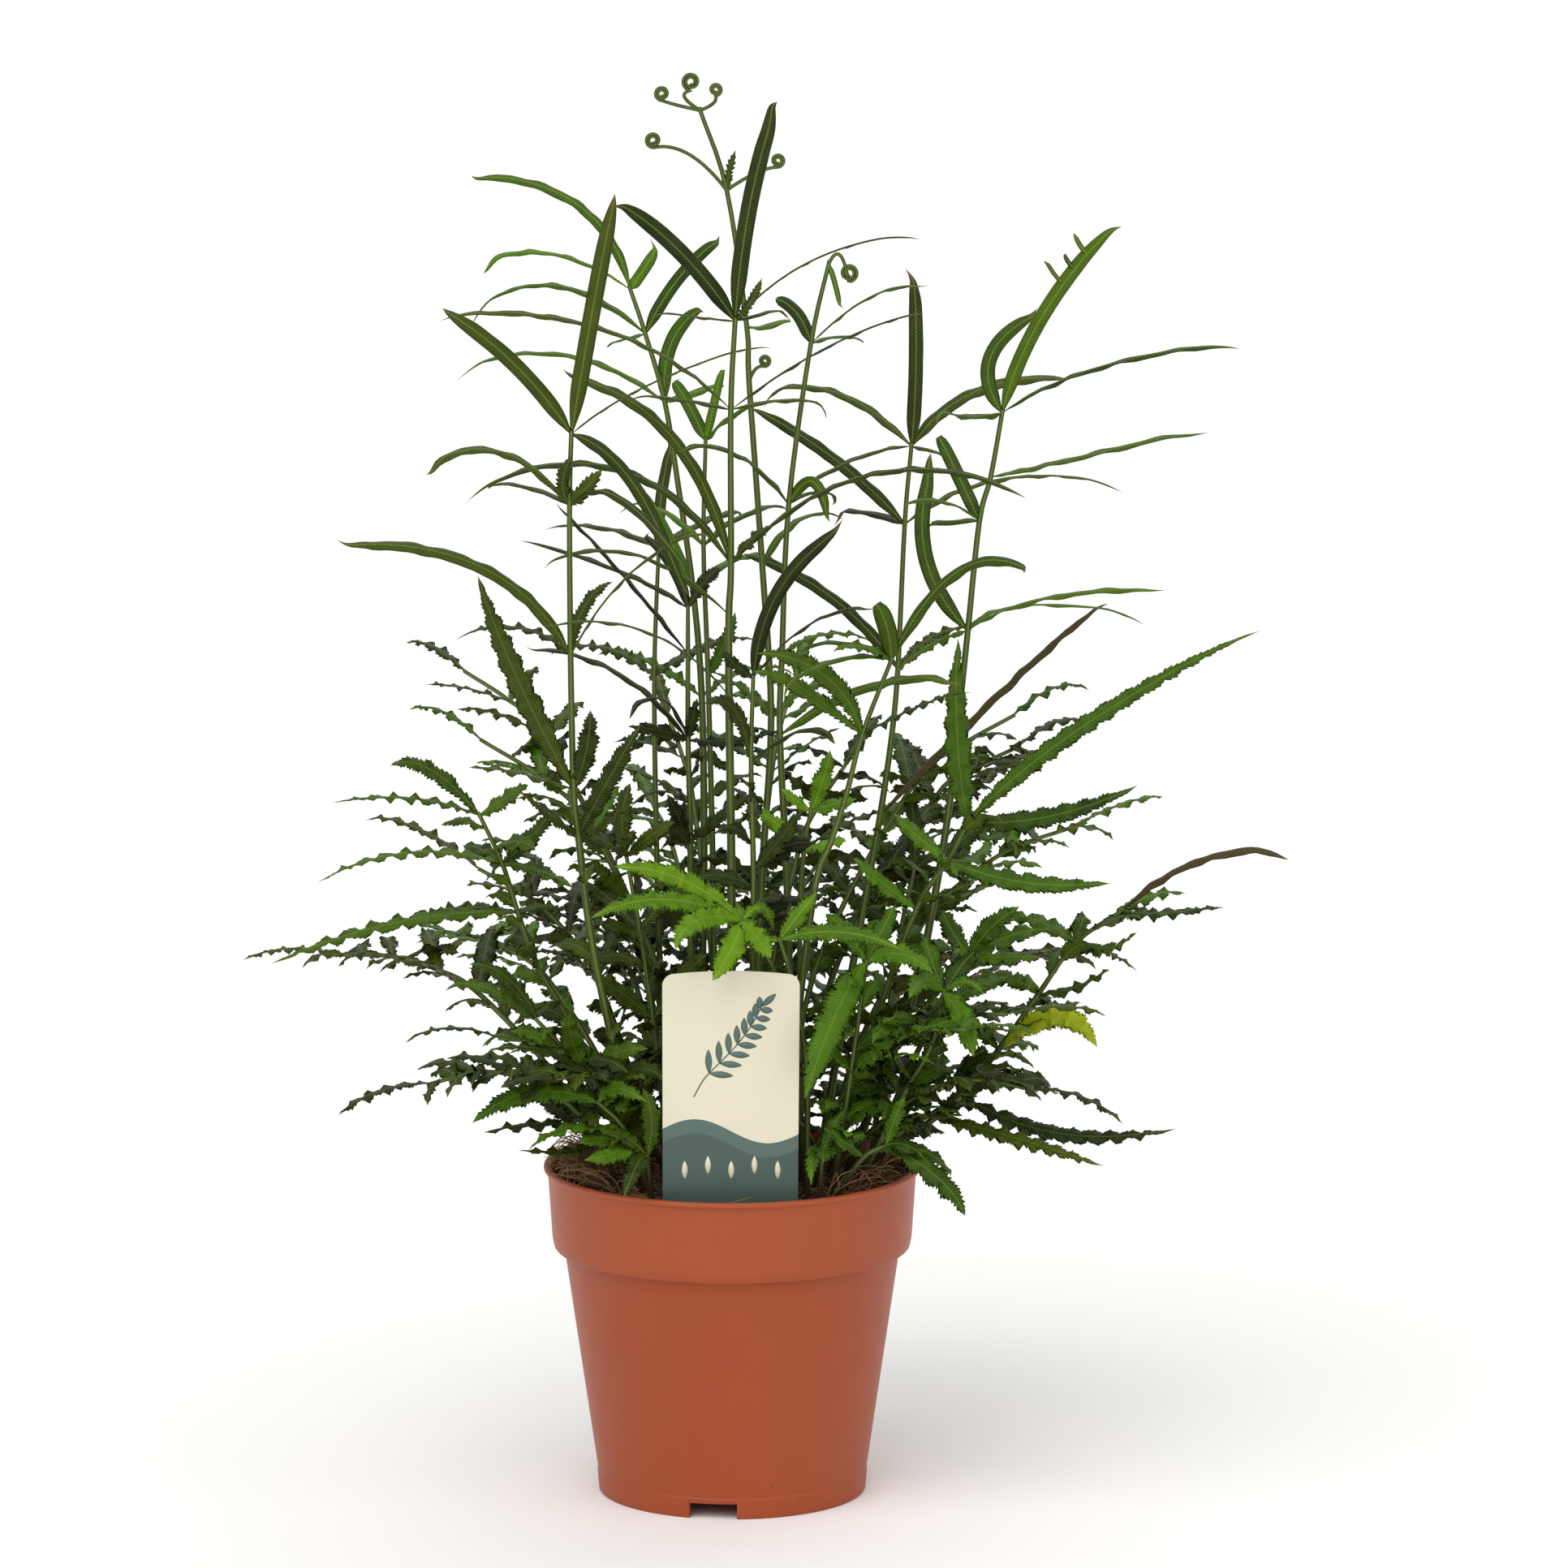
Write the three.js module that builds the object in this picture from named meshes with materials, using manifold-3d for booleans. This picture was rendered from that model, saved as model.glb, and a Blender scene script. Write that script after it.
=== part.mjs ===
// Potted evergreen brake fern in a plastic nursery pot with a plant label, in millimetres, +Z up.
// The origin is the middle of the pot's foot. +X is to the right and +Y away from the front view.
import * as THREE from "three";
import { mergeVertices } from "three/addons/utils/BufferGeometryUtils.js";
import Module from "manifold-3d";

const wasm = await Module();
wasm.setup();

// Driving dimensions
const clearance = 0.4; // between pieces that touch or pass each other
const viewRise = Math.tan(THREE.MathUtils.degToRad(10)); // the front view looks down by 10 degrees

const pot = {
  height: 153,
  wall: 1.8,
  footRadius: 61.5,
  shoulderRadius: 77,
  shoulderHeight: 113,
  collarRadius: 84.6,
  collarFoot: 119,
  lipRadius: 86.5,
  lipHeight: 2.8,
  floorUnderside: 6.6,
  dimple: [13, 19], // the floor's middle dips to the ground, from the second radius to the first
  sides: 28,
  slots: 3,
  slotWidth: 22,
  slotHeight: 7.2,
  slotTurn: -8,
  drainRadius: 5,
  drainCircle: 42,
};
const soil = { top: 146, sides: 14, rough: 1.6, holeDepth: 10, holeRoom: 1.3, holeSides: 4 };
const label = {
  width: 62,
  top: 254,
  cardFoot: 128,
  stakeFoot: 92,
  stakeWidth: 20,
  stakeTip: 6,
  thick: 0.8,
  corner: 6,
  crown: 2,
  y: -67,
  lean: 1.5,
};
const stemSides = 4;
const rootSunk = 1.5; // how far the end of a stem stands past the roots of its last blades
const bladeThick = 1.2; // at the rib; a blade thins out to its edges

// How each kind of blade is cut: edge points a side and how far from its ends the first and last
// are, rib points, how far the teeth are cut in as a share of the half width, how far the edge waves,
// and where along the blade it is widest. A blade that is short has fewer edge points.
const bladeKinds = {
  line: { edge: 3, inset: 0.13, rib: 2, cut: 0, wave: 0, widest: 0.2, taper: 6 },
  wavy: { edge: 5, inset: 0.16, rib: 1, cut: 0.3, wave: 1.6, widest: 0.3, taper: 2.4 },
  toothed: { edge: 5, inset: 0.16, rib: 1, cut: 0.24, wave: 1.1, widest: 0.4, taper: 3 },
};
const shortBlade = { below: 37, edge: 3, inset: 0.22 };
const curl = { radius: 0.8, sides: 3, steps: 8, turns: 1.3 };

// How the crown fills its depth, and the broadest that a blade may be for its length.
const crown = { spread: 1.1, height: 500, bladeDepth: 1.35, broadest: 0.34 };

// The ways that a blade may be bent clear of its neighbours: sideways and up at its tip, in mm.
const bends = [
  [0, 0], [9, 0], [-9, 0], [18, 0], [-18, 0], [0, 6], [0, -6], [10, 8], [-10, 8], [10, -8],
  [-10, -8], [28, 0], [-28, 0], [20, 10], [-20, 10], [20, -10], [-20, -10], [40, 0], [-40, 0],
  [0, 14], [0, -14], [32, 14], [-32, 14], [32, -14], [-32, -14], [55, 0], [-55, 0],
];

// Fronds as the front view shows them. A stem is its foot [x, y] in the soil and its points
// [across, up, depth]. A blade is [stem point, middle across, middle up, tip across, tip up,
// tip depth from its root, width, turn to the viewer in degrees, kind]; a curl's tip is the middle
// of its coil, its width is the coil's radius and its turn is the sense of winding.
const shownFronds = [
  { name: "tall_left", tone: "deep", foot: [-40, -22], thick: 2.4,
    stem: [[-55, 215, -30], [-64, 262, -33], [-69, 306, -35], [-71, 327, -36], [-72, 388, -37],
      [-72, 456, -38], [-71, 488, -38]],
    blades: [
      [6, -61, 545, -51, 595, -6, 9, 90, "line"], [6, -97, 520, -128, 543, -15, 8.5, 80, "line"],
      [6, -35, 510, 20, 529, -30, 4.5, 8, "line"], [6, -43, 465, -20, 412, 12, 7, 60, "line"],
      [5, -104, 480, -138, 470, -25, 7, 30, "line"], [5, -92, 465, -112, 466, 20, 5, 15, "line"],
      [5, -75, 466, -71, 478, -5, 10, 90, "toothed"], [5, -66, 462, -57, 472, -9, 9, 80, "toothed"],
      [5, -50, 459, -19, 425, -28, 5.5, 30, "line"], [4, -112, 428, -176, 437, -30, 8, 45, "line"],
      [4, -95, 401, -127, 397, 25, 7, 12, "wavy"], [4, -66, 410, -53, 423, 10, 7, 60, "toothed"],
      [4, -45, 425, -8, 447, -24, 4.5, 15, "line"], [3, -97, 380, -113, 424, -14, 13, 85, "wavy"],
      [3, -97, 335, -118, 337, -12, 9, 10, "wavy"], [3, -65, 345, -63, 363, -12, 11, 85, "toothed"],
      [2, -56, 330, -41, 356, -15, 11, 75, "toothed"], [2, -56, 312, -45, 320, -30, 10, 40, "toothed"],
      [2, -82, 316, -95, 327, -22, 10, 40, "toothed"],
    ] },
  { name: "tall_centre", tone: "deep", foot: [2, -12], thick: 2.6,
    stem: [[0, 230, -15], [0, 290, -18], [-1, 370, -20], [-1, 407, -20], [0, 430, -21],
      [0, 500, -22], [2, 540, -22]],
    blades: [
      [6, 9, 594, 22, 640, -4, 9, 90, "line"], [6, -22, 570, -50, 592, -18, 9, 80, "line"],
      [6, -15, 541, -34, 543, -25, 4.5, 15, "line"], [6, 38, 567, 86, 577, -30, 4.5, 10, "line"],
      [6, 15, 544, 26, 546, 14, 4.5, 12, "line"], [6, 9, 549, 14, 560, 8, 5, 80, "toothed"],
      [5, -55, 535, -128, 541, -38, 5.5, 20, "line"], [5, -22, 505, -48, 508, 18, 4.5, 20, "line"],
      [5, 44, 528, 87, 543, -26, 4.5, 15, "line"], [5, 25, 505, 46, 503, 22, 4.5, 20, "line"],
      [4, -52, 474, -122, 463, 18, 6, 30, "line"], [4, -30, 492, -82, 518, 26, 7, 50, "line"],
      [4, 9, 441, 18, 447, -16, 7, 50, "toothed"], [4, 62, 470, 133, 460, -38, 5.5, 25, "line"],
      [3, -42, 434, -84, 430, -26, 5, 20, "line"], [2, -38, 399, -84, 401, -32, 5, 20, "line"],
    ] },
  { name: "tall_unrolling", tone: "mid", foot: [13, 8], thick: 2.2,
    stem: [[12, 230, 8], [14, 290, 10], [18, 360, 12], [14, 430, 12], [8, 515, 10], [7, 540, 9],
      [-2, 602, 6], [-14, 638, 4]],
    blades: [
      [7, -21, 644, -18, 651, 0, 4, 1, "curl"], [7, -24, 640, -31, 645, -6, 3.2, 1, "curl"],
      [7, -8, 641, -7, 647, -4, 2.8, -1, "curl"], [6, -19, 618, -35, 624, -8, 3.4, 1, "curl"],
      [6, -1, 610, 2, 620, -3, 5, 85, "toothed"], [6, 11, 610, 21, 616, 5, 3, -1, "curl"],
      [5, 16, 541, 30, 546, 16, 5, 30, "line"], [4, 11, 521, 15, 525, 6, 2.6, -1, "curl"],
      [2, 34, 374, 51, 379, 22, 7, 20, "wavy"], [2, 8, 372, -12, 384, 24, 7, 30, "wavy"],
      [3, 30, 452, 52, 455, 34, 5, 20, "line"],
    ] },
  { name: "tall_back_left", tone: "fresh", foot: [-14, 30], thick: 2.2,
    stem: [[-14, 230, 34], [-13, 300, 36], [-14, 370, 38], [-18, 420, 40], [-25, 470, 42],
      [-31, 508, 43], [-40, 540, 44], [-47, 561, 45]],
    blades: [
      [7, -73, 602, -126, 616, 25, 6, 35, "line"], [7, -41, 570, -34, 582, 8, 6.5, 80, "line"],
      [7, -84, 577, -118, 570, -20, 5, 20, "line"], [6, -24, 567, -3, 587, 12, 7, 75, "line"],
      [6, -84, 564, -126, 550, 40, 5.5, 25, "line"], [6, -50, 538, -58, 536, 14, 5.5, 20, "line"],
      [5, -28, 536, -13, 553, 14, 8, 80, "line"], [5, -15, 514, -1, 520, 24, 5.5, 40, "line"],
      [5, -78, 531, -130, 525, 34, 5, 20, "line"], [3, -30, 446, -44, 470, 26, 7, 60, "line"],
      [3, -2, 434, 22, 440, 42, 6, 30, "line"], [2, -40, 388, -66, 392, 44, 7, 25, "wavy"],
      [2, 8, 384, 30, 382, 46, 7, 25, "wavy"],
    ] },
  { name: "tall_right_of_centre", tone: "mid", foot: [24, 0], thick: 2.2,
    stem: [[26, 230, -2], [25, 290, -4], [22, 352, -5], [23, 390, -6], [26, 458, -6],
      [36, 531, -8], [44, 567, -9]],
    blades: [
      [6, 49, 571, 53, 563, 2, 4, -1, "curl"], [6, 47, 557, 49, 547, -4, 3, 70, "line"],
      [5, 29, 546, 18, 553, 14, 7, 70, "line"], [5, 62, 551, 85, 555, -26, 4.5, 15, "line"],
      [5, 50, 535, 61, 533, 22, 4.5, 15, "line"], [4, 3, 480, -24, 483, -34, 6, 30, "line"],
      [4, 37, 468, 44, 449, -12, 6, 70, "line"], [4, 38, 464, 51, 461, 18, 4.5, 15, "line"],
      [2, 62, 374, 101, 377, -44, 7, 45, "line"], [3, 44, 399, 66, 396, 30, 5.5, 20, "wavy"],
    ] },
  { name: "tall_right_upright", tone: "deep", foot: [40, 16], thick: 2.2,
    stem: [[52, 225, 18], [61, 275, 20], [68, 315, 20], [73, 350, 20], [76, 383, 20],
      [79, 450, 19], [82, 486, 18]],
    blades: [
      [6, 84, 525, 83, 567, 2, 8, 90, "line"], [6, 46, 512, 10, 511, 32, 6, 30, "line"],
      [6, 112, 512, 156, 519, 30, 7, 45, "line"], [6, 93, 483, 101, 479, -16, 4, 20, "line"],
      [6, 57, 480, 28, 463, -32, 4.5, 12, "line"], [5, 46, 481, 8, 505, 14, 7, 55, "line"],
      [5, 62, 456, 46, 457, 24, 6, 30, "line"], [5, 125, 472, 185, 469, 44, 5, 20, "line"],
      [4, 45, 417, 4, 438, 12, 7, 50, "line"], [4, 92, 398, 112, 404, 30, 7, 25, "wavy"],
      [2, 125, 374, 172, 416, 4, 6, 30, "line"], [1, 78, 300, 92, 316, 36, 9, 40, "toothed"],
    ] },
  { name: "tall_far_right", tone: "mid", foot: [52, -8], thick: 2.4,
    stem: [[70, 195, -10], [84, 235, -12], [92, 275, -14], [99, 320, -15], [103, 360, -16],
      [107, 400, -16], [112, 450, -16], [117, 470, -16], [122, 499, -16]],
    blades: [
      [8, 140, 543, 173, 585, -15, 8, 75, "line"], [8, 165, 519, 229, 530, -20, 5, 20, "line"],
      [8, 117, 525, 140, 546, 15, 8, 80, "line"], [8, 105, 497, 91, 500, -25, 6, 30, "line"],
      [7, 155, 479, 219, 495, 26, 5, 20, "line"], [6, 102, 472, 92, 493, 14, 7.5, 75, "line"],
      [6, 97, 458, 79, 458, -22, 5.5, 20, "line"], [6, 100, 450, 86, 449, 8, 5.5, 20, "line"],
      [5, 140, 414, 193, 418, -38, 5.5, 20, "line"], [5, 135, 412, 195, 407, 32, 5, 12, "line"],
      [5, 87, 438, 94, 482, 8, 8.5, 80, "line"], [5, 88, 392, 74, 380, -30, 6, 30, "wavy"],
    ] },
  { name: "short_right", tone: "mid", foot: [24, -30], thick: 2.2,
    stem: [[30, 220, -36], [38, 283, -40], [45, 303, -42], [52, 325, -43], [59, 352, -44],
      [72, 386, -45]],
    blades: [
      [5, 70, 400, 65, 412, -10, 10, 85, "line"], [5, 102, 426, 134, 425, -20, 7, 40, "line"],
      [5, 58, 392, 45, 390, -16, 8, 30, "wavy"], [5, 50, 394, 28, 390, 10, 6, 20, "line"],
      [5, 48, 386, 20, 372, -28, 6, 20, "line"], [4, 43, 378, 12, 390, -20, 11, 70, "toothed"],
      [4, 30, 374, 10, 381, -2, 9, 55, "toothed"], [4, 82, 364, 107, 373, -26, 8, 25, "wavy"],
    ] },
  { name: "slim_back_left", tone: "deep", foot: [-30, 34], thick: 2,
    stem: [[-33, 230, 38], [-35, 300, 42], [-36, 380, 46], [-34, 440, 48]],
    blades: [
      [3, -33, 465, -28, 492, 22, 6.5, 70, "line"], [3, -58, 450, -86, 452, 40, 5.5, 25, "line"],
      [3, -12, 454, 8, 460, 42, 5.5, 25, "line"], [2, -60, 394, -88, 392, 46, 8, 25, "wavy"],
      [2, -10, 396, 12, 398, 50, 8, 25, "wavy"],
    ] },
  { name: "young_centre", tone: "fresh", foot: [-6, 20], thick: 2,
    stem: [[-8, 230, 22], [-9, 300, 24], [-11, 380, 26], [-13, 440, 26], [-12, 489, 26]],
    blades: [
      [4, -20, 506, -28, 519, 8, 7, 75, "line"], [4, -8, 507, -4, 524, 4, 5, 60, "line"],
      [4, -3, 498, 9, 505, -12, 6, 30, "line"], [3, 5, 455, 30, 461, 28, 5, 15, "line"],
      [3, -30, 456, -52, 462, 24, 5, 20, "line"], [2, -4, 394, 2, 410, 10, 8, 60, "toothed"],
    ] },
  { name: "dark_left", tone: "dark", foot: [-20, 8], thick: 2,
    stem: [[-19, 230, 10], [-19, 303, 12], [-20, 350, 12], [-20, 390, 13], [-20, 411, 14]],
    blades: [
      [4, -50, 428, -98, 444, 20, 5, 15, "line"], [4, -12, 424, -5, 430, 10, 8, 60, "toothed"],
      [4, -28, 432, -42, 447, 24, 6, 50, "line"], [3, -50, 427, -80, 459, -15, 5, 20, "line"],
      [2, -52, 381, -94, 393, -26, 6, 30, "line"], [2, -18, 359, -16, 369, -8, 13, 85, "toothed"],
      [2, -32, 354, -47, 356, -12, 10, 50, "toothed"], [2, -32, 369, -49, 361, -24, 5, 15, "line"],
      [2, 2, 350, 22, 355, -14, 9, 40, "toothed"], [1, -24, 313, -29, 325, -6, 10, 60, "toothed"],
      [1, -6, 314, 8, 324, -16, 9, 50, "toothed"],
    ] },
  { name: "dark_centre", tone: "dark", foot: [11, -28], thick: 2,
    stem: [[10, 230, -28], [10, 290, -30], [9, 340, -30], [10, 378, -30]],
    blades: [
      [3, 22, 418, 50, 445, -20, 8, 65, "line"], [3, 35, 402, 63, 410, -32, 5, 20, "line"],
      [3, 2, 384, -4, 390, -8, 8, 60, "toothed"], [2, 1, 364, -12, 366, -12, 8, 60, "toothed"],
      [2, 32, 354, 47, 349, -20, 5.5, 20, "line"], [1, 22, 304, 32, 318, -16, 10, 60, "toothed"],
    ] },
  { name: "low_left_long", tone: "mid", foot: [-44, -12], thick: 1.9,
    stem: [[-72, 215, -18], [-88, 245, -20], [-97, 270, -21], [-104, 293, -22], [-114, 315, -23]],
    blades: [
      [4, -136, 336, -154, 338, -8, 9, 60, "toothed"], [4, -145, 323, -181, 321, -16, 8, 20, "wavy"],
      [4, -102, 323, -92, 329, -14, 10, 50, "toothed"], [3, -145, 298, -188, 285, -22, 9, 20, "wavy"],
      [3, -113, 299, -123, 301, 18, 10, 40, "toothed"], [3, -92, 304, -80, 319, 10, 10, 50, "toothed"],
      [3, -88, 290, -70, 282, -20, 9, 30, "wavy"], [2, -150, 266, -208, 247, -26, 10, 30, "wavy"],
      [2, -125, 272, -150, 264, 26, 9, 30, "wavy"], [2, -86, 273, -76, 271, 20, 9, 30, "toothed"],
    ] },
  { name: "low_left_middle", tone: "mid", foot: [-38, -38], thick: 1.8,
    stem: [[-54, 180, -42], [-66, 197, -44], [-88, 221, -47]],
    blades: [
      [2, -98, 232, -106, 243, -8, 15, 80, "toothed"], [2, -112, 236, -131, 235, 12, 9, 40, "wavy"],
      [2, -100, 240, -117, 248, -22, 10, 50, "toothed"], [1, -88, 208, -110, 208, -24, 9, 25, "wavy"],
      [1, -86, 199, -109, 198, 20, 9, 20, "wavy"], [1, -72, 212, -73, 224, -14, 14, 80, "toothed"],
      [1, -52, 206, -38, 208, -16, 12, 60, "toothed"],
    ] },
  { name: "low_left_front", tone: "fresh", foot: [-36, -52], thick: 1.7,
    stem: [[-48, 170, -56], [-60, 183, -58]],
    blades: [
      [1, -90, 188, -117, 174, -6, 12, 60, "toothed"], [1, -69, 190, -74, 198, 8, 12, 75, "toothed"],
      [1, -52, 190, -38, 184, -14, 13, 60, "toothed"], [0, -72, 172, -92, 162, -8, 9, 30, "wavy"],
      [0, -50, 162, -66, 158, -22, 13, 60, "toothed"],
    ] },
  { name: "low_left_rim", tone: "deep", foot: [-52, -26], thick: 1.7,
    stem: [[-62, 164, -30], [-72, 172, -32]],
    blades: [
      [1, -92, 172, -114, 168, 4, 9, 25, "wavy"], [1, -80, 180, -92, 186, 22, 11, 50, "toothed"],
      [1, -66, 182, -56, 190, -10, 12, 60, "toothed"], [0, -76, 160, -96, 162, -24, 8, 30, "wavy"],
    ] },
  { name: "bright_front", tone: "bright", foot: [22, -44], thick: 1.8,
    stem: [[24, 205, -47], [20, 242, -50], [5, 267, -55]],
    blades: [
      [2, -22, 286, -52, 292, -18, 11, 65, "toothed"], [2, -30, 277, -62, 269, -36, 11, 60, "toothed"],
      [2, -14, 268, -25, 256, -44, 12, 75, "toothed"], [2, 1, 256, -8, 240, -20, 15, 80, "toothed"],
      [2, 12, 259, 18, 251, -30, 11, 70, "toothed"], [2, 14, 273, 19, 262, 14, 12, 60, "toothed"],
    ] },
  { name: "bright_right", tone: "bright", foot: [34, -44], thick: 1.8,
    stem: [[34, 200, -48], [27, 240, -51], [22, 258, -53]],
    blades: [
      [2, 48, 262, 76, 255, -22, 10, 60, "toothed"], [2, 30, 269, 39, 280, 6, 11, 70, "toothed"],
      [2, 10, 262, 2, 276, 22, 10, 50, "toothed"],
    ] },
  { name: "drooping_right", tone: "fresh", foot: [46, -36], thick: 1.8,
    stem: [[54, 195, -46], [61, 248, -56]],
    blades: [
      [1, 47, 224, 33, 186, -18, 17, 80, "toothed"], [1, 76, 252, 91, 243, -12, 12, 60, "toothed"],
      [1, 52, 262, 42, 270, 18, 11, 50, "toothed"], [1, 68, 262, 74, 274, 10, 11, 60, "toothed"],
      [0, 66, 208, 78, 214, -22, 11, 50, "toothed"],
    ] },
  { name: "rosette_right", tone: "fresh", foot: [58, -28], thick: 1.8,
    stem: [[78, 186, -40], [90, 208, -46], [96, 234, -50]],
    blades: [
      [2, 104, 222, 109, 205, -16, 13, 80, "toothed"], [2, 87, 240, 80, 232, -24, 12, 60, "toothed"],
      [2, 90, 250, 88, 260, 12, 12, 60, "toothed"], [2, 106, 239, 114, 233, -4, 11, 50, "toothed"],
      [2, 104, 246, 110, 252, 22, 12, 60, "toothed"], [1, 80, 216, 70, 218, -26, 11, 50, "toothed"],
    ] },
  { name: "low_right_broad", tone: "fresh", foot: [60, -14], thick: 1.8,
    stem: [[82, 200, -26], [96, 228, -30], [108, 250, -34]],
    blades: [
      [2, 117, 263, 130, 273, -10, 16, 75, "toothed"], [2, 128, 260, 146, 262, 16, 11, 40, "wavy"],
      [2, 122, 250, 138, 251, -26, 11, 40, "toothed"], [2, 100, 262, 96, 272, 14, 11, 60, "toothed"],
      [1, 112, 236, 126, 240, 20, 11, 40, "toothed"],
    ] },
  { name: "low_right_long", tone: "mid", foot: [58, 4], thick: 2,
    stem: [[98, 178, -4], [122, 206, -6], [140, 232, -8], [157, 256, -10], [178, 271, -11]],
    blades: [
      [4, 212, 294, 253, 299, -20, 6, 30, "line"], [4, 196, 270, 223, 274, -28, 10, 30, "wavy"],
      [4, 193, 278, 209, 279, 24, 8, 30, "wavy"], [3, 140, 266, 120, 268, 24, 11, 30, "wavy"],
      [3, 172, 254, 182, 262, -26, 11, 40, "toothed"], [2, 158, 236, 172, 246, -20, 9, 30, "wavy"],
      [2, 124, 240, 108, 238, 28, 11, 40, "toothed"], [2, 150, 226, 160, 229, 22, 9, 40, "wavy"],
      [1, 148, 222, 166, 208, -22, 13, 70, "toothed"], [1, 134, 209, 141, 205, 24, 9, 30, "toothed"],
      [1, 110, 216, 98, 216, 30, 10, 40, "toothed"],
    ] },
  { name: "low_right_wide", tone: "deep", foot: [50, -18], thick: 1.8,
    stem: [[74, 166, -22], [90, 176, -24], [104, 186, -26]],
    blades: [
      [2, 150, 168, 201, 172, -24, 11, 35, "wavy"], [2, 128, 191, 151, 185, 18, 9, 30, "wavy"],
      [2, 116, 198, 134, 196, 32, 9, 30, "wavy"], [1, 130, 166, 167, 155, -44, 10, 35, "wavy"],
      [2, 108, 200, 122, 204, -14, 11, 50, "toothed"], [1, 84, 188, 76, 196, -22, 11, 50, "toothed"],
    ] },
  { name: "low_right_rim", tone: "fresh", foot: [48, -48], thick: 1.7,
    stem: [[60, 158, -56], [70, 163, -58]],
    blades: [
      [1, 92, 150, 106, 132, -16, 12, 55, "toothed"], [1, 88, 160, 101, 148, 10, 9, 40, "wavy"],
      [1, 74, 176, 78, 186, -6, 12, 60, "toothed"], [0, 50, 166, 42, 172, -12, 11, 50, "toothed"],
    ] },
  { name: "rim_left_of_label", tone: "mid", foot: [-36, -56], thick: 1.6,
    stem: [[-38, 158, -62]],
    blades: [
      [0, -42, 156, -48, 141, -24, 10, 60, "toothed"], [0, -48, 168, -58, 170, -12, 11, 50, "toothed"],
      [0, -36, 176, -40, 190, -4, 11, 60, "toothed"],
    ] },
  { name: "rim_right_of_label", tone: "fresh", foot: [40, -56], thick: 1.6,
    stem: [[41, 158, -62]],
    blades: [
      [0, 37, 160, 36, 146, -14, 9, 70, "toothed"], [0, 52, 166, 62, 167, -2, 11, 50, "toothed"],
      [0, 46, 172, 52, 180, 6, 10, 60, "toothed"],
    ] },
  { name: "upper_right_wavy", tone: "fresh", foot: [44, -8], thick: 2,
    stem: [[64, 215, -20], [84, 272, -26], [98, 294, -28], [107, 312, -30]],
    blades: [
      [3, 102, 352, 102, 396, -6, 14, 85, "wavy"], [3, 160, 357, 237, 401, -18, 10, 70, "wavy"],
      [3, 145, 315, 182, 329, -24, 11, 65, "wavy"], [3, 119, 305, 128, 318, 22, 9, 30, "wavy"],
      [2, 135, 284, 171, 285, -16, 11, 60, "wavy"], [2, 84, 306, 74, 316, 18, 10, 50, "toothed"],
      [2, 112, 296, 118, 306, 30, 9, 40, "toothed"], [1, 66, 286, 56, 296, -16, 11, 50, "toothed"],
    ] },
  { name: "young_light", tone: "bright", foot: [32, -16], thick: 1.6,
    stem: [[31, 262, -18], [33, 299, -20], [36, 317, -21]],
    blades: [
      [2, 41, 330, 45, 345, -4, 11, 80, "toothed"], [2, 46, 320, 57, 323, 10, 9, 50, "toothed"],
      [2, 29, 322, 23, 327, -10, 9, 60, "toothed"], [1, 22, 310, 10, 318, 10, 9, 50, "toothed"],
      [1, 43, 302, 52, 304, -14, 9, 40, "toothed"],
    ] },
  { name: "left_inner", tone: "deep", foot: [-28, -8], thick: 1.8,
    stem: [[-36, 220, -8], [-42, 262, -6], [-48, 296, -4]],
    blades: [
      [2, -50, 314, -46, 330, 6, 11, 70, "toothed"], [2, -64, 306, -78, 308, 16, 10, 40, "toothed"],
      [2, -36, 306, -26, 312, -10, 10, 50, "toothed"], [1, -56, 276, -68, 284, 26, 11, 50, "toothed"],
      [1, -28, 278, -18, 288, -16, 11, 60, "toothed"], [0, -52, 234, -64, 240, -14, 12, 60, "toothed"],
      [0, -22, 240, -12, 250, -10, 12, 60, "toothed"],
    ] },
  { name: "right_inner", tone: "deep", foot: [64, 16], thick: 1.8,
    stem: [[72, 220, 26], [78, 262, 32], [84, 290, 36]],
    blades: [
      [2, 84, 308, 82, 326, 4, 10, 70, "toothed"], [2, 100, 300, 114, 304, 16, 10, 40, "wavy"],
      [2, 70, 300, 58, 304, 16, 10, 40, "toothed"], [1, 94, 272, 108, 276, -12, 11, 50, "toothed"],
      [1, 62, 272, 50, 280, 22, 11, 50, "toothed"], [0, 88, 232, 102, 236, 14, 12, 40, "toothed"],
    ] },
];

// Fronds that the front view doesn't show apart, placed by a rule: compass directions in degrees
// (90 is straight back), the ring that their feet stand on, the lean at the foot, and their lengths.
const ruledFronds = [
  { name: "back", seed: 11, count: 12, compass: [26, 168], ring: [[44, 52], [62, 62]],
    lean: [[10, 22], [30, 44]], stalk: [80, 150], leaf: [58, 84], pairs: 3, blade: [44, 64],
    width: [10, 13.5] },
  { name: "inner", seed: 5, count: 7, compass: [14, 166], ring: [[20, 30], [32, 42]],
    lean: [[4, 10], [9, 16]], stalk: [140, 215], leaf: [50, 66], pairs: 2, blade: [38, 54],
    width: [9, 12], leafy: true },
  { name: "low_front_left", seed: 3, count: 3, compass: [184, 232], ring: [[30, 38], [44, 52]],
    lean: [[20, 28], [32, 42]], stalk: [44, 84], leaf: [48, 62], pairs: 3, blade: [32, 46],
    width: [10, 13], leafy: true },
  { name: "low_front_right", seed: 8, count: 3, compass: [312, 358], ring: [[34, 44], [46, 56]],
    lean: [[20, 28], [32, 42]], stalk: [44, 84], leaf: [48, 62], pairs: 3, blade: [32, 46],
    width: [10, 13], leafy: true },
];

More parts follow.
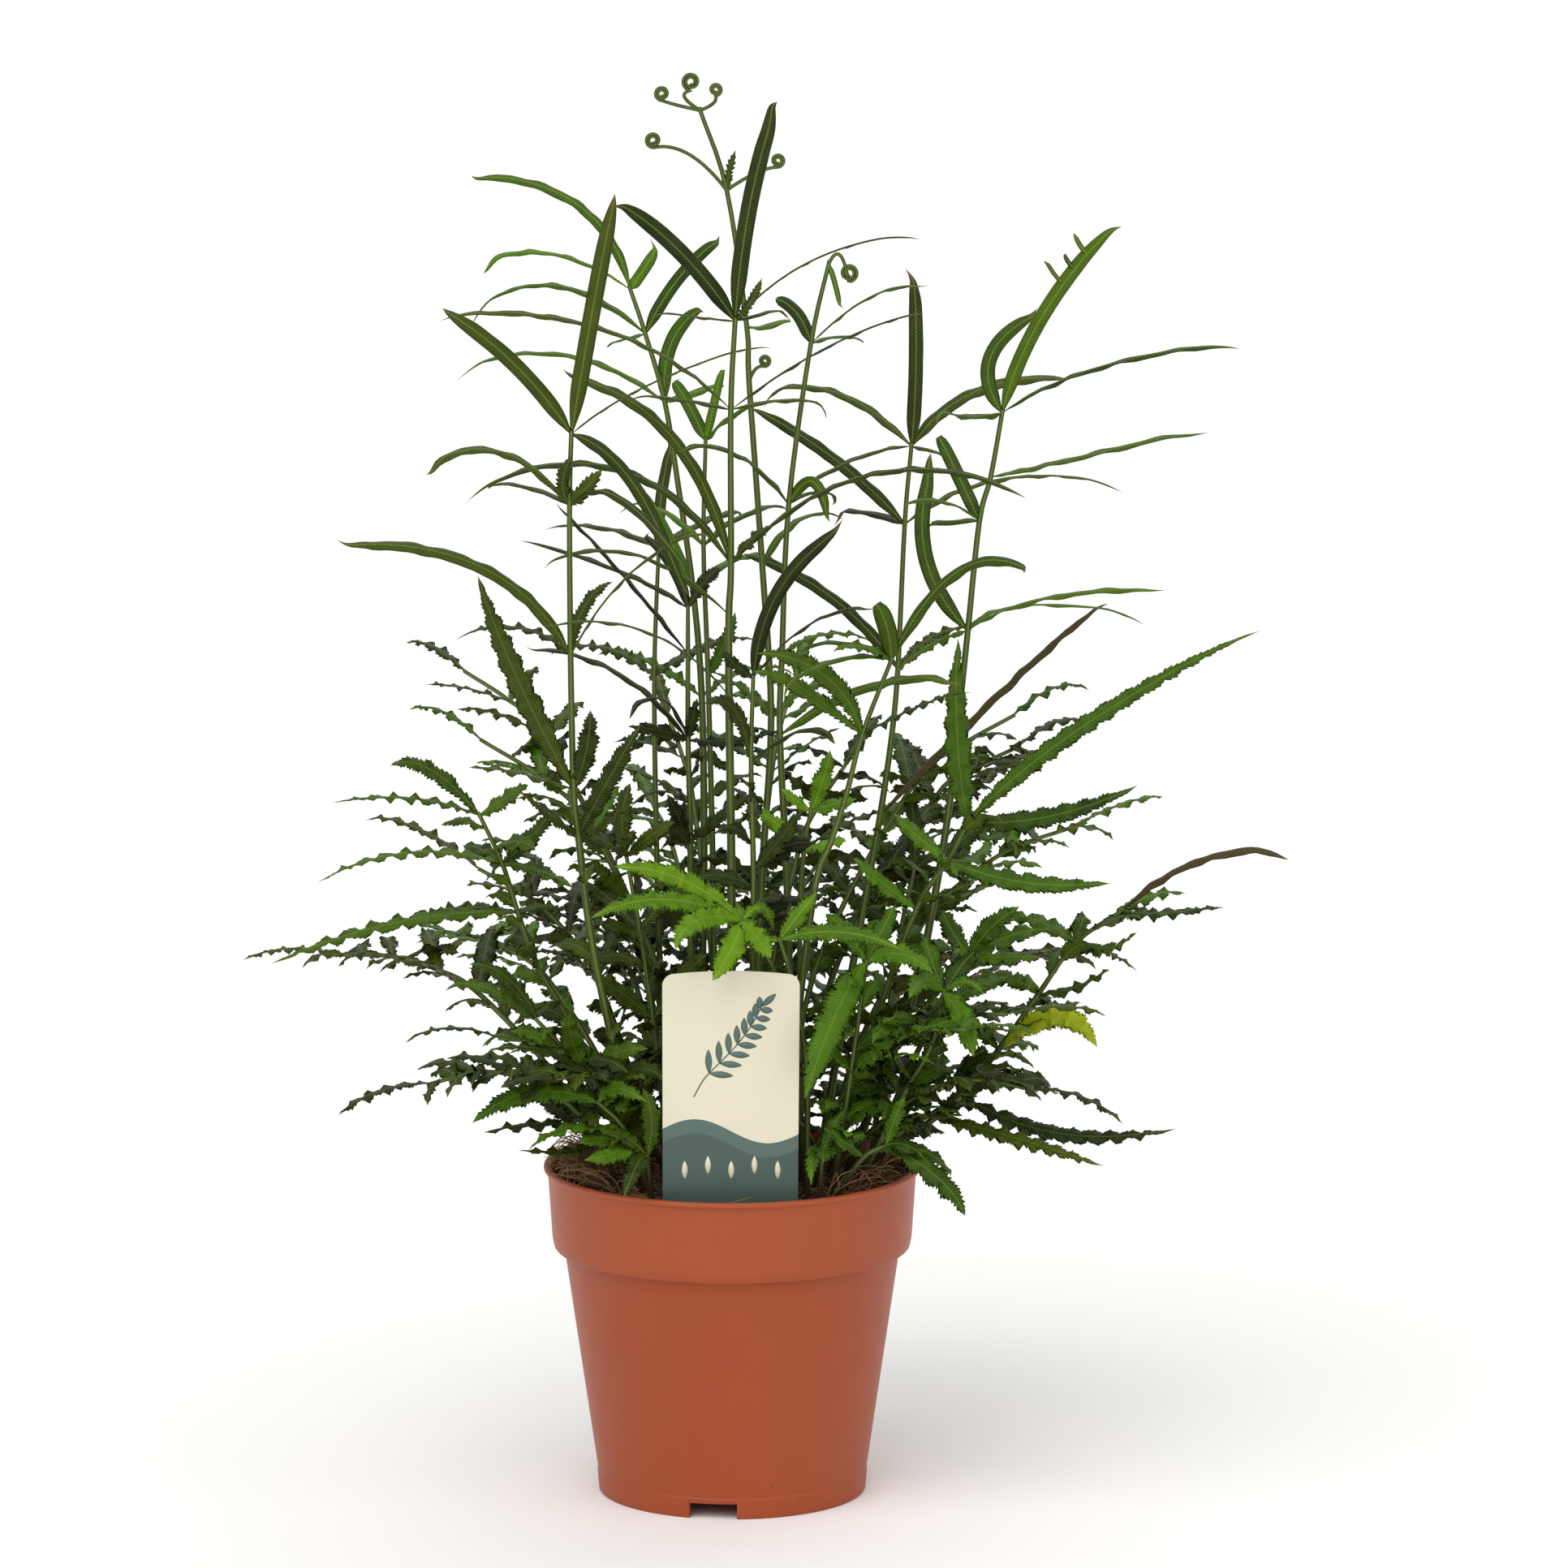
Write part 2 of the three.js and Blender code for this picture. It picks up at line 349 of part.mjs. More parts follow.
// Leaves down the bare stalk of a low frond, on alternate sides: how far apart they are, the heights
// between which they grow, how long and wide they are, and how far they spread from the stalk.
const stalkLeaf = { step: 38, from: 172, upTo: 345, length: [24, 33], width: 11.5, spread: 62 };

// How far a ruled frond may be turned about the pot's axis to find room for its stem, in degrees.
const turns = [0, 5, -5, 10, -10, 15, -15, 20, -20, 26, -26, 32, -32];

// A small seeded random number generator, 0 to 1.
function seeded(seed) {
  let state = seed >>> 0;
  return () => {
    state = (state + 0x6d2b79f5) >>> 0;
    let mixed = Math.imul(state ^ (state >>> 15), 1 | state);
    mixed = (mixed + Math.imul(mixed ^ (mixed >>> 7), 61 | mixed)) ^ mixed;
    return ((mixed ^ (mixed >>> 14)) >>> 0) / 4294967296;
  };
}

// A point of the front view, in mm across and up, at a depth behind the pot's axis.
const seen = (across, up, depth) => new THREE.Vector3(across, depth, up - depth * viewRise);

function solidOf(geometry) {
  const bare = geometry.index ? geometry.toNonIndexed() : geometry.clone();
  bare.deleteAttribute("normal");
  bare.deleteAttribute("uv");
  const merged = mergeVertices(bare, 1e-4);
  return new wasm.Manifold(new wasm.Mesh({
    numProp: 3,
    vertProperties: new Float32Array(merged.attributes.position.array),
    triVerts: new Uint32Array(merged.index.array),
  }));
}

function geometryOf(solid) {
  const mesh = solid.getMesh();
  return new THREE.BufferGeometry()
    .setAttribute("position", new THREE.BufferAttribute(mesh.vertProperties, 3))
    .setIndex(new THREE.BufferAttribute(mesh.triVerts, 1));
}

function geometryFrom(points, faces) {
  return new THREE.BufferGeometry()
    .setAttribute("position", new THREE.Float32BufferAttribute(points.flatMap((p) => p.toArray()), 3))
    .setIndex(faces.flat());
}

// A tube of few sides through a row of points, thinner towards its end.
function tube(row, sides, startRadius, endRadius) {
  const points = [];
  const faces = [];
  const last = row.length - 1;
  row.forEach((here, i) => {
    const tangent = row[Math.min(last, i + 1)].clone().sub(row[Math.max(0, i - 1)]).normalize();
    const across = new THREE.Vector3(0, 1, 0).cross(tangent).normalize();
    const over = tangent.clone().cross(across);
    const radius = THREE.MathUtils.lerp(startRadius, endRadius, i / last);
    for (let j = 0; j < sides; j++) {
      const turn = (j / sides) * 2 * Math.PI;
      points.push(here.clone().addScaledVector(across, radius * Math.cos(turn))
        .addScaledVector(over, radius * Math.sin(turn)));
    }
  });
  for (let i = 0; i < last; i++)
    for (let j = 0; j < sides; j++) {
      const a = i * sides + j;
      const b = i * sides + ((j + 1) % sides);
      faces.push([a, b, b + sides], [a, b + sides, a + sides]);
    }
  const end = last * sides;
  for (let j = 1; j < sides - 1; j++) faces.push([0, j + 1, j], [end, end + j, end + j + 1]);
  return geometryFrom(points, faces);
}

// Half the width of a blade at a share of its length, before its teeth are cut.
function halfWidth(share, width, kind) {
  const swell = Math.pow(Math.sin(Math.min(1, share / kind.widest) * Math.PI * 0.5), 0.8);
  const fall = Math.pow(Math.max(0, share - kind.widest) / (1 - kind.widest), kind.taper);
  return (width / 2) * swell * (1 - fall);
}

// One blade: a bent lens that starts and ends in a point, with a rib along its middle and its edge
// points cut in and out. grow makes it fatter all over, for testing that it keeps clear of others.
function bladeGeometry(blade, grow = 0) {
  const kind = bladeKinds[blade.kind];
  const curve = bentThrough(blade.root, blade.middle, blade.tip);
  const frameAt = (share) => {
    const here = curve.getPoint(share);
    const tangent = curve.getTangent(share);
    const side = tangent.clone().cross(blade.facing).normalize();
    return { here, side, up: side.clone().cross(tangent).normalize(), tangent };
  };
  const start = frameAt(0);
  const end = frameAt(1);
  const short = blade.root.distanceTo(blade.tip) < shortBlade.below && kind.cut > 0;
  const { edge: edgeCount, inset } = short ? shortBlade : kind;
  const points = [
    start.here.clone().addScaledVector(start.tangent, -grow),
    end.here.clone().addScaledVector(end.tangent, grow),
  ];
  const add = (point) => points.push(point) - 1;
  const rows = { left: [], right: [], top: [], under: [] };
  for (let i = 1; i <= kind.rib; i++) {
    const { here, up } = frameAt(i / (kind.rib + 1));
    rows.top.push(add(here.clone().addScaledVector(up, bladeThick / 2 + grow)));
    rows.under.push(add(here.clone().addScaledVector(up, -bladeThick / 2 - grow)));
  }
  for (let j = 0; j < edgeCount; j++) {
    const share = inset + ((1 - 2 * inset) * j) / (edgeCount - 1);
    const { here, side, up } = frameAt(share);
    const notch = j % 2 === 1;
    const half = halfWidth(share, blade.width, kind) * (notch ? 1 - kind.cut : 1);
    const edge = here.addScaledVector(up, kind.wave * (notch ? -0.5 : 0.5));
    rows.left.push(add(edge.clone().addScaledVector(side, -half - grow)));
    rows.right.push(add(edge.clone().addScaledVector(side, half + grow)));
  }
  const faces = [];
  for (const [edgeName, flip] of [["left", false], ["right", true]])
    for (const [ribName, under] of [["top", false], ["under", true]]) {
      const outer = [0, ...rows[edgeName], 1];
      const inner = [0, ...rows[ribName], 1];
      let i = 0;
      let k = 0;
      while (i < outer.length - 1 || k < inner.length - 1) {
        const nextOuter = (i + 1) / (outer.length - 1);
        const nextInner = (k + 1) / (inner.length - 1);
        const stepOuter = k === inner.length - 1 || (i < outer.length - 1 && nextOuter <= nextInner);
        const face = stepOuter ? [inner[k], outer[i + 1], outer[i]] : [inner[k], inner[k + 1], outer[i]];
        if (stepOuter) i++;
        else k++;
        if (new Set(face).size < 3) continue;
        faces.push(flip !== under ? [face[0], face[2], face[1]] : face);
      }
    }
  return geometryFrom(points, faces);
}

// The curve from root to tip that passes through middle half way.
function bentThrough(root, middle, tip) {
  const pull = middle.clone().multiplyScalar(2).addScaledVector(root, -0.5).addScaledVector(tip, -0.5);
  return new THREE.QuadraticBezierCurve3(root, pull, tip);
}

// An unrolling tip: a slim tube that ends in a coil, in the plane that faces the front.
function curlRow(blade) {
  const foot = blade.tip.clone().add(new THREE.Vector3(0, 0, -blade.width));
  const stalk = bentThrough(blade.root, blade.middle, foot);
  const row = [0, 0.33, 0.67].map((share) => stalk.getPoint(share));
  for (let i = 0; i <= curl.steps; i++) {
    const wound = i / curl.steps;
    const turn = wound * curl.turns * 2 * Math.PI;
    const radius = blade.width * (1 - 0.72 * wound);
    row.push(blade.tip.clone().add(new THREE.Vector3(
      -blade.sense * radius * Math.sin(turn), -0.9 * wound, -radius * Math.cos(turn))));
  }
  return row;
}

function leafGeometry(blade, grow = 0) {
  if (blade.kind !== "curl") return bladeGeometry(blade, grow);
  return tube(curlRow(blade), curl.sides, curl.radius + grow, curl.radius * 0.7 + grow);
}

// A stem stands upright in its hole and then goes through its points.
function stemGeometry(frond, grow = 0) {
  const [x, y] = frond.foot;
  const row = [
    new THREE.Vector3(x, y, soil.top - soil.holeDepth + clearance),
    new THREE.Vector3(x, y, soil.top + 2),
    ...frond.points,
  ];
  const [before, end] = row.splice(-2);
  const sunk = end.clone().sub(before).normalize().multiplyScalar(rootSunk);
  row.push(before, end.clone().add(sunk));
  return tube(row, stemSides, frond.thick + grow, Math.max(1, frond.thick * 0.48) + grow);
}

// Fronds stand further forward or back towards their tops than near the soil.
const fanned = (up, depth) => depth * (1 + crown.spread * Math.max(0, (up - soil.top) / crown.height) ** 1.5);

// Leaves on alternate sides of a stalk, from below its lowest blade down to near the soil.
function stalkLeaves(foot, points, random) {
  const upright = new THREE.Vector3(0, 0, 1);
  const out = new THREE.Vector3(...foot, 0).normalize();
  const side = out.clone().cross(upright);
  const spread = THREE.MathUtils.degToRad(stalkLeaf.spread);
  const row = [new THREE.Vector3(...foot, soil.top + 2), ...points];
  const leaves = [];
  for (let i = row.length - 1, left = stalkLeaf.step * 0.6; i > 0; i--) {
    const stretch = row[i].distanceTo(row[i - 1]);
    const ahead = row[i].clone().sub(row[i - 1]).normalize();
    for (; left < stretch; left += stalkLeaf.step) {
      const root = row[i].clone().addScaledVector(ahead, -left);
      const hand = leaves.length % 2 ? 1 : -1;
      const length = THREE.MathUtils.lerp(...stalkLeaf.length, random());
      const droop = length * (0.05 + 0.25 * random());
      if (root.z < stalkLeaf.from) break;
      const way = ahead.clone().multiplyScalar(Math.cos(spread)).addScaledVector(side, hand * Math.sin(spread))
        .addScaledVector(out, 0.35).normalize();
      leaves.push({
        kind: "toothed",
        width: stalkLeaf.width,
        root,
        middle: root.clone().addScaledVector(way, length * 0.52).addScaledVector(upright, length * 0.06),
        tip: root.clone().addScaledVector(way, length).addScaledVector(upright, -droop),
        facing: upright.clone().addScaledVector(out, 0.7).normalize(),
        bendAlong: upright.clone().cross(way).normalize(),
      });
    }
    left -= stretch;
  }
  return leaves;
}

function planShown(row, index) {
  const points = row.stem.map(([across, up, depth]) => seen(across, up, fanned(up, depth)));
  const blades = row.blades.map(([at, midAcross, midUp, tipAcross, tipUp, deep, width, turn, kind]) => {
    const depth = fanned(row.stem[at][1], row.stem[at][2]);
    const reach = deep * crown.bladeDepth;
    const angle = THREE.MathUtils.degToRad(turn);
    const length = Math.hypot(tipAcross - row.stem[at][0], tipUp - row.stem[at][1], reach);
    return {
      kind,
      width: kind === "curl" ? width : Math.min(width, length * crown.broadest),
      sense: turn,
      root: points[at],
      middle: seen(midAcross, midUp, depth + reach * 0.45),
      tip: seen(tipAcross, tipUp, depth + reach),
      facing: kind === "curl" ? null : new THREE.Vector3(0, -Math.sin(angle), Math.cos(angle)),
      bendAlong: new THREE.Vector3(0, 1, -viewRise),
    };
  });
  const lowest = Math.min(...row.blades.map(([at]) => at));
  if (row.tone !== "bright" && points[lowest].z < stalkLeaf.upTo)
    blades.push(...stalkLeaves(row.foot, points.slice(0, lowest + 1), seeded(40 + index)));
  return { name: row.name, tone: row.tone, foot: row.foot, thick: row.thick, points, blades };
}

function planRuled(rule) {
  const random = seeded(rule.seed);
  const between = ([low, high]) => low + (high - low) * random();
  const upright = new THREE.Vector3(0, 0, 1);
  const [first, last] = rule.compass;
  return Array.from({ length: rule.count }, (_, i) => {
    const compass = THREE.MathUtils.degToRad(first + ((last - first) * (i + 0.5 * random())) / rule.count);
    const out = new THREE.Vector3(Math.cos(compass), Math.sin(compass), 0);
    const side = out.clone().cross(upright);
    const foot = out.clone().multiplyScalar(between(rule.ring[i % 2]));
    const lean = THREE.MathUtils.degToRad(between(rule.lean[i % 2]));
    const stalk = between(rule.stalk);
    const leaf = between(rule.leaf);
    const along = (length) => {
      const bend = lean + 0.45 * (length / (stalk + leaf)) ** 2;
      return foot.clone().addScaledVector(out, length * Math.sin(bend) * 0.95)
        .addScaledVector(upright, soil.top + length * Math.cos(bend));
    };
    const points = [along(stalk * 0.5)];
    for (let j = 0; j <= rule.pairs; j++) points.push(along(stalk + (leaf * j) / rule.pairs));
    const blades = [];
    for (let j = 0; j <= rule.pairs; j++) {
      const root = points[j + 1];
      const ahead = root.clone().sub(points[j]).normalize();
      for (const hand of j === rule.pairs ? [0] : [-1, 1]) {
        const length = between(rule.blade) * (hand === 0 ? 1.15 : 1 - 0.14 * j);
        const spread = hand * THREE.MathUtils.degToRad(48 + 14 * random());
        const way = ahead.clone().multiplyScalar(Math.cos(spread)).addScaledVector(side, Math.sin(spread));
        blades.push({
          kind: random() < 0.35 ? "wavy" : "toothed",
          width: between(rule.width) * (1 - 0.08 * j),
          root,
          middle: root.clone().addScaledVector(way, length * 0.52).addScaledVector(upright, length * 0.05),
          tip: root.clone().addScaledVector(way, length).addScaledVector(upright, -length * 0.18 * random()),
          facing: upright.clone().addScaledVector(out, 0.5 * (random() - 0.3)).normalize(),
          bendAlong: upright.clone().cross(way).normalize(),
        });
      }
    }
    if (rule.leafy) blades.push(...stalkLeaves([foot.x, foot.y], points.slice(0, 2), random));
    const name = rule.name + "_" + String(i + 1).padStart(2, "0");
    return { name, tone: i % 3 ? "deep" : "fresh", foot: [foot.x, foot.y], thick: 1.7, points, blades };
  });
}

// The same frond, turned about the pot's axis.
function turned(frond, degrees) {
  const angle = THREE.MathUtils.degToRad(degrees);
  const about = (place) => place.clone().applyAxisAngle(new THREE.Vector3(0, 0, 1), angle);
  const foot = about(new THREE.Vector3(...frond.foot, 0));
  const blades = frond.blades.map((blade) => {
    const moved = { ...blade };
    for (const key of ["root", "middle", "tip", "facing", "bendAlong"]) moved[key] = about(blade[key]);
    return moved;
  });
  return { ...frond, foot: [foot.x, foot.y], points: frond.points.map(about), blades };
}

// Pot, soil and label
function potSolid() {
  const { height, wall, footRadius, shoulderRadius, shoulderHeight, collarRadius, collarFoot } = pot;
  const floorTop = pot.floorUnderside + wall;
  const [dip, rise] = pot.dimple;
  const outline = [
    [0, 0], [dip, 0], [rise, pot.floorUnderside], [footRadius - wall - 0.6, pot.floorUnderside],
    [footRadius - wall, 0],
    [footRadius, 0], [shoulderRadius, shoulderHeight], [collarRadius - 3.2, shoulderHeight + 1.6],
    [collarRadius - 2, collarFoot], [collarRadius, height - pot.lipHeight],
    [pot.lipRadius, height - pot.lipHeight + 0.4], [pot.lipRadius - 0.4, height],
    [collarRadius - wall, height - 0.4], [collarRadius - 2 - wall, collarFoot + 0.6],
    [shoulderRadius - wall, shoulderHeight - 1.2], [footRadius - wall + 1.1, floorTop],
    [rise - 1, floorTop], [dip - 1, wall], [0, wall],
  ];
  const lathe = new THREE.LatheGeometry(outline.map(([r, z]) => new THREE.Vector2(r, z)), pot.sides);
  lathe.rotateX(Math.PI / 2);
  let body = solidOf(lathe);
  for (let i = 0; i < pot.slots; i++) {
    const turn = THREE.MathUtils.degToRad(pot.slotTurn + (i * 360) / pot.slots);
    const slot = new THREE.BoxGeometry(pot.slotWidth, 16, pot.slotHeight + 4);
    slot.translate(0, -footRadius, pot.slotHeight / 2 - 2);
    slot.rotateZ(turn);
    const drain = new THREE.CylinderGeometry(pot.drainRadius, pot.drainRadius, 6, 8);
    drain.rotateX(Math.PI / 2);
    drain.translate(0, -pot.drainCircle, floorTop - 1);
    drain.rotateZ(turn);
    body = body.subtract(solidOf(slot)).subtract(solidOf(drain));
  }
  return body;
}

// The label's outline: a card with round top corners and a low crown, and a stake below it.
function labelShape(grow) {
  const half = label.width / 2 + grow;
  const stake = label.stakeWidth / 2 + grow;
  const tip = label.stakeTip / 2 + grow;
  const shape = new THREE.Shape();
  shape.moveTo(-tip, label.stakeFoot - grow);
  shape.lineTo(tip, label.stakeFoot - grow);
  shape.lineTo(stake, label.cardFoot - grow);
  shape.lineTo(half, label.cardFoot - grow);
  shape.lineTo(half, label.top - label.corner);
  shape.quadraticCurveTo(half, label.top - 1, half - label.corner, label.top - 0.4);
  shape.quadraticCurveTo(0, label.top + label.crown, -half + label.corner, label.top - 0.4);
  shape.quadraticCurveTo(-half, label.top - 1, -half, label.top - label.corner);
  shape.lineTo(-half, label.cardFoot - grow);
  shape.lineTo(-stake, label.cardFoot - grow);
  shape.closePath();
  return shape;
}

function labelSolid(grow = 0) {
  const depth = label.thick + 2 * grow;
  const card = new THREE.ExtrudeGeometry(labelShape(grow), { depth, bevelEnabled: false, curveSegments: 4 });
  card.translate(0, 0, -depth / 2);
  card.rotateX(Math.PI / 2);
  card.translate(0, 0, -soil.top);
  card.rotateX(THREE.MathUtils.degToRad(-label.lean));
  card.translate(0, label.y, soil.top);
  return solidOf(card);
}

function soilSolid(fronds) {
  const gap = clearance;
  const { wall, footRadius, shoulderRadius, shoulderHeight, collarRadius, collarFoot } = pot;
  const floorTop = pot.floorUnderside + wall + gap;
  const [dip, rise] = pot.dimple;
  const outline = [
    [0, wall + gap], [dip - 1.4, wall + gap], [rise - 1.6, floorTop], [footRadius - wall - gap, floorTop],
    [shoulderRadius - wall - gap, shoulderHeight - 1], [collarRadius - 2.1 - wall - gap, collarFoot + 1],
    [collarRadius - 0.6 - wall - gap, soil.top], [44, soil.top], [0, soil.top],
  ];
  const lathe = new THREE.LatheGeometry(outline.map(([r, z]) => new THREE.Vector2(r, z)), soil.sides);
  lathe.rotateX(Math.PI / 2);
  const place = lathe.attributes.position;
  for (let i = 0; i < place.count; i++) {
    const [x, y, z] = [place.getX(i), place.getY(i), place.getZ(i)];
    const inside = Math.hypot(x, y) < collarRadius - wall - 4;
    if (z > soil.top - 1 && inside)
      place.setZ(i, z + soil.rough * (Math.sin(x * 0.21 + 1) * Math.cos(y * 0.17) - 0.3));
  }
  let body = solidOf(lathe);
  for (const frond of fronds) {
    const radius = frond.thick + soil.holeRoom;
    const hole = new THREE.CylinderGeometry(radius, radius, soil.holeDepth * 2, soil.holeSides);
    hole.rotateX(Math.PI / 2);
    hole.translate(frond.foot[0], frond.foot[1], soil.top);
    body = body.subtract(solidOf(hole));
  }
  return body.subtract(labelSolid(clearance));
}

// Two solids keep clear if their boxes do, or if what they share is empty.
function apart(a, b) {
  const boxA = a.box;
  const boxB = b.box;
  for (let k = 0; k < 3; k++) if (boxA.min[k] > boxB.max[k] || boxB.min[k] > boxA.max[k]) return true;
  const shared = a.solid.intersect(b.solid);
  const empty = shared.isEmpty();
  shared.delete();
  return empty;
}

const boxed = (solid) => ({ solid, box: solid.boundingBox() });
const largest = (solid) => solid.decompose().sort((a, b) => b.volume() - a.volume())[0];

// Turns each ruled frond until its stem is clear of all the stems before it and of the fixtures.
function placeStems(shown, ruled, fixtures) {
  const fat = (frond) => boxed(solidOf(stemGeometry(frond, clearance)));
  const placed = shown.map((frond) => ({ frond, stem: boxed(solidOf(stemGeometry(frond))) }));
  for (const plan of ruled) {
    const others = [...placed.map(({ stem }) => stem), ...fixtures];
    const frond = turns.map((degrees) => turned(plan, degrees))
      .find((candidate) => others.every((other) => apart(fat(candidate), other)));
    if (!frond) throw new Error(plan.name + " finds no room");
    placed.push({ frond, stem: boxed(solidOf(stemGeometry(frond))) });
  }
  return placed;
}

// Bends each blade clear of the other fronds, in the order of bends, and leaves it out if none serves.
function growBlades(placed, fixtures) {
  const grown = placed.map(({ stem }) => [stem]);
  placed.forEach(({ frond }, i) => {
    for (const blade of frond.blades) {
      const others = grown.filter((_, k) => k !== i).flat().concat(fixtures);
      const way = bends.find(([aside, lift]) => {
        const fat = boxed(solidOf(leafGeometry(bent(blade, aside, lift), clearance)));
        return others.every((other) => apart(fat, other));
      });
      if (way) grown[i].push(boxed(solidOf(leafGeometry(bent(blade, ...way)))));
    }
  });
  return grown.map((pieces) => largest(
    pieces.map((piece) => piece.solid).reduce((whole, next) => whole.add(next)).simplify(0.25)));
}

function bent(blade, aside, lift) {
  const push = blade.bendAlong.clone().multiplyScalar(aside).add(new THREE.Vector3(0, 0, lift));
  return {
    ...blade,
    middle: blade.middle.clone().addScaledVector(push, 0.5),
    tip: blade.tip.clone().add(push),
  };
}

const toneColours = {
  deep: 0x2f4a1c,
  dark: 0x26381a,
  mid: 0x3b5a22,
  fresh: 0x3f7a1e,
  bright: 0x6a9a1f,
};

function meshOf(name, solid, color, roughness) {
  const material = new THREE.MeshStandardMaterial({ color, roughness, metalness: 0 });
  const mesh = new THREE.Mesh(geometryOf(solid), material);
  mesh.name = name;
  return mesh;
}

const potBody = potSolid();
const labelBody = labelSolid();
const walls = [boxed(potBody), boxed(labelBody)];
const placed = placeStems(shownFronds.map(planShown), ruledFronds.flatMap(planRuled), walls);
const soilBody = soilSolid(placed.map(({ frond }) => frond));
const plants = growBlades(placed, [...walls, boxed(soilBody)]);

const fern = new THREE.Group();
fern.add(meshOf("pot", potBody, 0xb05a3a, 0.45));
fern.add(meshOf("soil", soilBody, 0x3a2a1e, 0.95));
fern.add(meshOf("label", labelBody, 0xece6d2, 0.5));
placed.forEach(({ frond }, i) => fern.add(meshOf(frond.name, plants[i], toneColours[frond.tone], 0.5)));

export default fern;
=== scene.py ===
import math

import bmesh
import bpy
import numpy as np
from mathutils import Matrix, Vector


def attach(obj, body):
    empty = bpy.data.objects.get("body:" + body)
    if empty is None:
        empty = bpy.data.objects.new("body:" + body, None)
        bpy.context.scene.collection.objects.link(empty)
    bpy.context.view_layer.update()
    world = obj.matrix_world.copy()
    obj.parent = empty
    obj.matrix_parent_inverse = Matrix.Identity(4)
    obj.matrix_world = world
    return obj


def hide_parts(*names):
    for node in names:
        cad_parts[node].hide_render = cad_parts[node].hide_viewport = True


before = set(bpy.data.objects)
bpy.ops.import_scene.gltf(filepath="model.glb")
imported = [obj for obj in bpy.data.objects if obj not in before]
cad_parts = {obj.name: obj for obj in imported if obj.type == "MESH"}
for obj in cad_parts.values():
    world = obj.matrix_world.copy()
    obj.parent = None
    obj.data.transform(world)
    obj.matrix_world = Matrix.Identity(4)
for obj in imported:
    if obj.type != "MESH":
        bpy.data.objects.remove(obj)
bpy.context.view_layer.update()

mm = 0.001
viewRise = math.tan(math.radians(10))  # the photograph looks down by 10 degrees
scene = bpy.context.scene


# Small helpers

def linear(hexText):  # an sRGB hex colour as the linear RGBA that the shaders use
    parts = [int(hexText[i:i + 2], 16) / 255 for i in (0, 2, 4)]
    return (*[c / 12.92 if c <= 0.04045 else ((c + 0.055) / 1.055) ** 2.4 for c in parts], 1.0)


def addNode(tree, kind, settings=None, links=None):
    # a key is a property of the node, or else the name or number of one of its inputs
    node = tree.nodes.new("ShaderNode" + kind)
    for key, value in (settings or {}).items():
        if isinstance(key, str) and hasattr(node, key):
            setattr(node, key, value)
        else:
            node.inputs[key].default_value = value
    for key, source in (links or {}).items():
        tree.links.new(source, node.inputs[key])
    return node


def newMaterial(name):
    # an empty node material and its tree
    material = bpy.data.materials.new(name)
    material.use_nodes = True
    material.node_tree.nodes.clear()
    return material, material.node_tree


def unit(v):  # each row of v, made one long
    return v / np.maximum(np.linalg.norm(v, axis=-1, keepdims=True), 1e-9)


def ringQuads(rings, sides):
    # quads between each ring and the next, and strips of quads across the first and the last ring
    r, c = np.meshgrid(np.arange(rings - 1), np.arange(sides), indexing="ij")
    a = (r * sides + c).ravel()
    b = (r * sides + (c + 1) % sides).ravel()
    walls = np.stack([a, b, b + sides, a + sides], 1)
    i = np.arange(sides // 2 - 1)
    cap = np.stack([i, i + 1, sides - 2 - i, sides - 1 - i], 1)
    return np.concatenate([walls, cap[:, ::-1], cap + (rings - 1) * sides])


def outward(points, quads):
    # the volume inside, as the sum of a.(b x c) over half of each quad, is below 0 if it is inside out
    a, b, c, d = (points[quads[:, k]] for k in range(4))
    volume = np.sum(a * np.cross(b, c)) + np.sum(a * np.cross(c, d))
    return quads if volume > 0 else quads[:, ::-1]


def makePiece(name, shells, materials, node=None, attributes=()):
    # shells are (points in mm, quads, material number, {attribute: values}), joined into one mesh
    counts = np.cumsum([0] + [len(shell[0]) for shell in shells])
    points = np.concatenate([shell[0] for shell in shells]) * mm
    quads = np.concatenate([shell[1] + counts[i] for i, shell in enumerate(shells)])
    mesh = bpy.data.meshes.new(name)
    mesh.vertices.add(len(points))
    mesh.vertices.foreach_set("co", points.astype(np.float32).ravel())
    mesh.loops.add(quads.size)
    mesh.loops.foreach_set("vertex_index", quads.astype(np.int32).ravel())
    mesh.polygons.add(len(quads))
    mesh.polygons.foreach_set("loop_start", np.arange(0, quads.size, 4, dtype=np.int32))
    mesh.polygons.foreach_set("use_smooth", np.ones(len(quads), dtype=bool))
    numbers = [np.full(len(shell[1]), shell[2], np.int32) for shell in shells]
    mesh.polygons.foreach_set("material_index", np.concatenate(numbers))
    for key in attributes:
        values = [np.broadcast_to(np.float32(shell[3].get(key, 0)), len(shell[0])) for shell in shells]
        mesh.attributes.new(key, "FLOAT", "POINT").data.foreach_set("value", np.concatenate(values))
    mesh.update(calc_edges=True)
    mesh.validate()
    for material in materials:
        mesh.materials.append(material)
    piece = bpy.data.objects.new(name, mesh)
    scene.collection.objects.link(piece)
    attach(piece, "root")
    if node:
        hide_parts(node)
    return piece


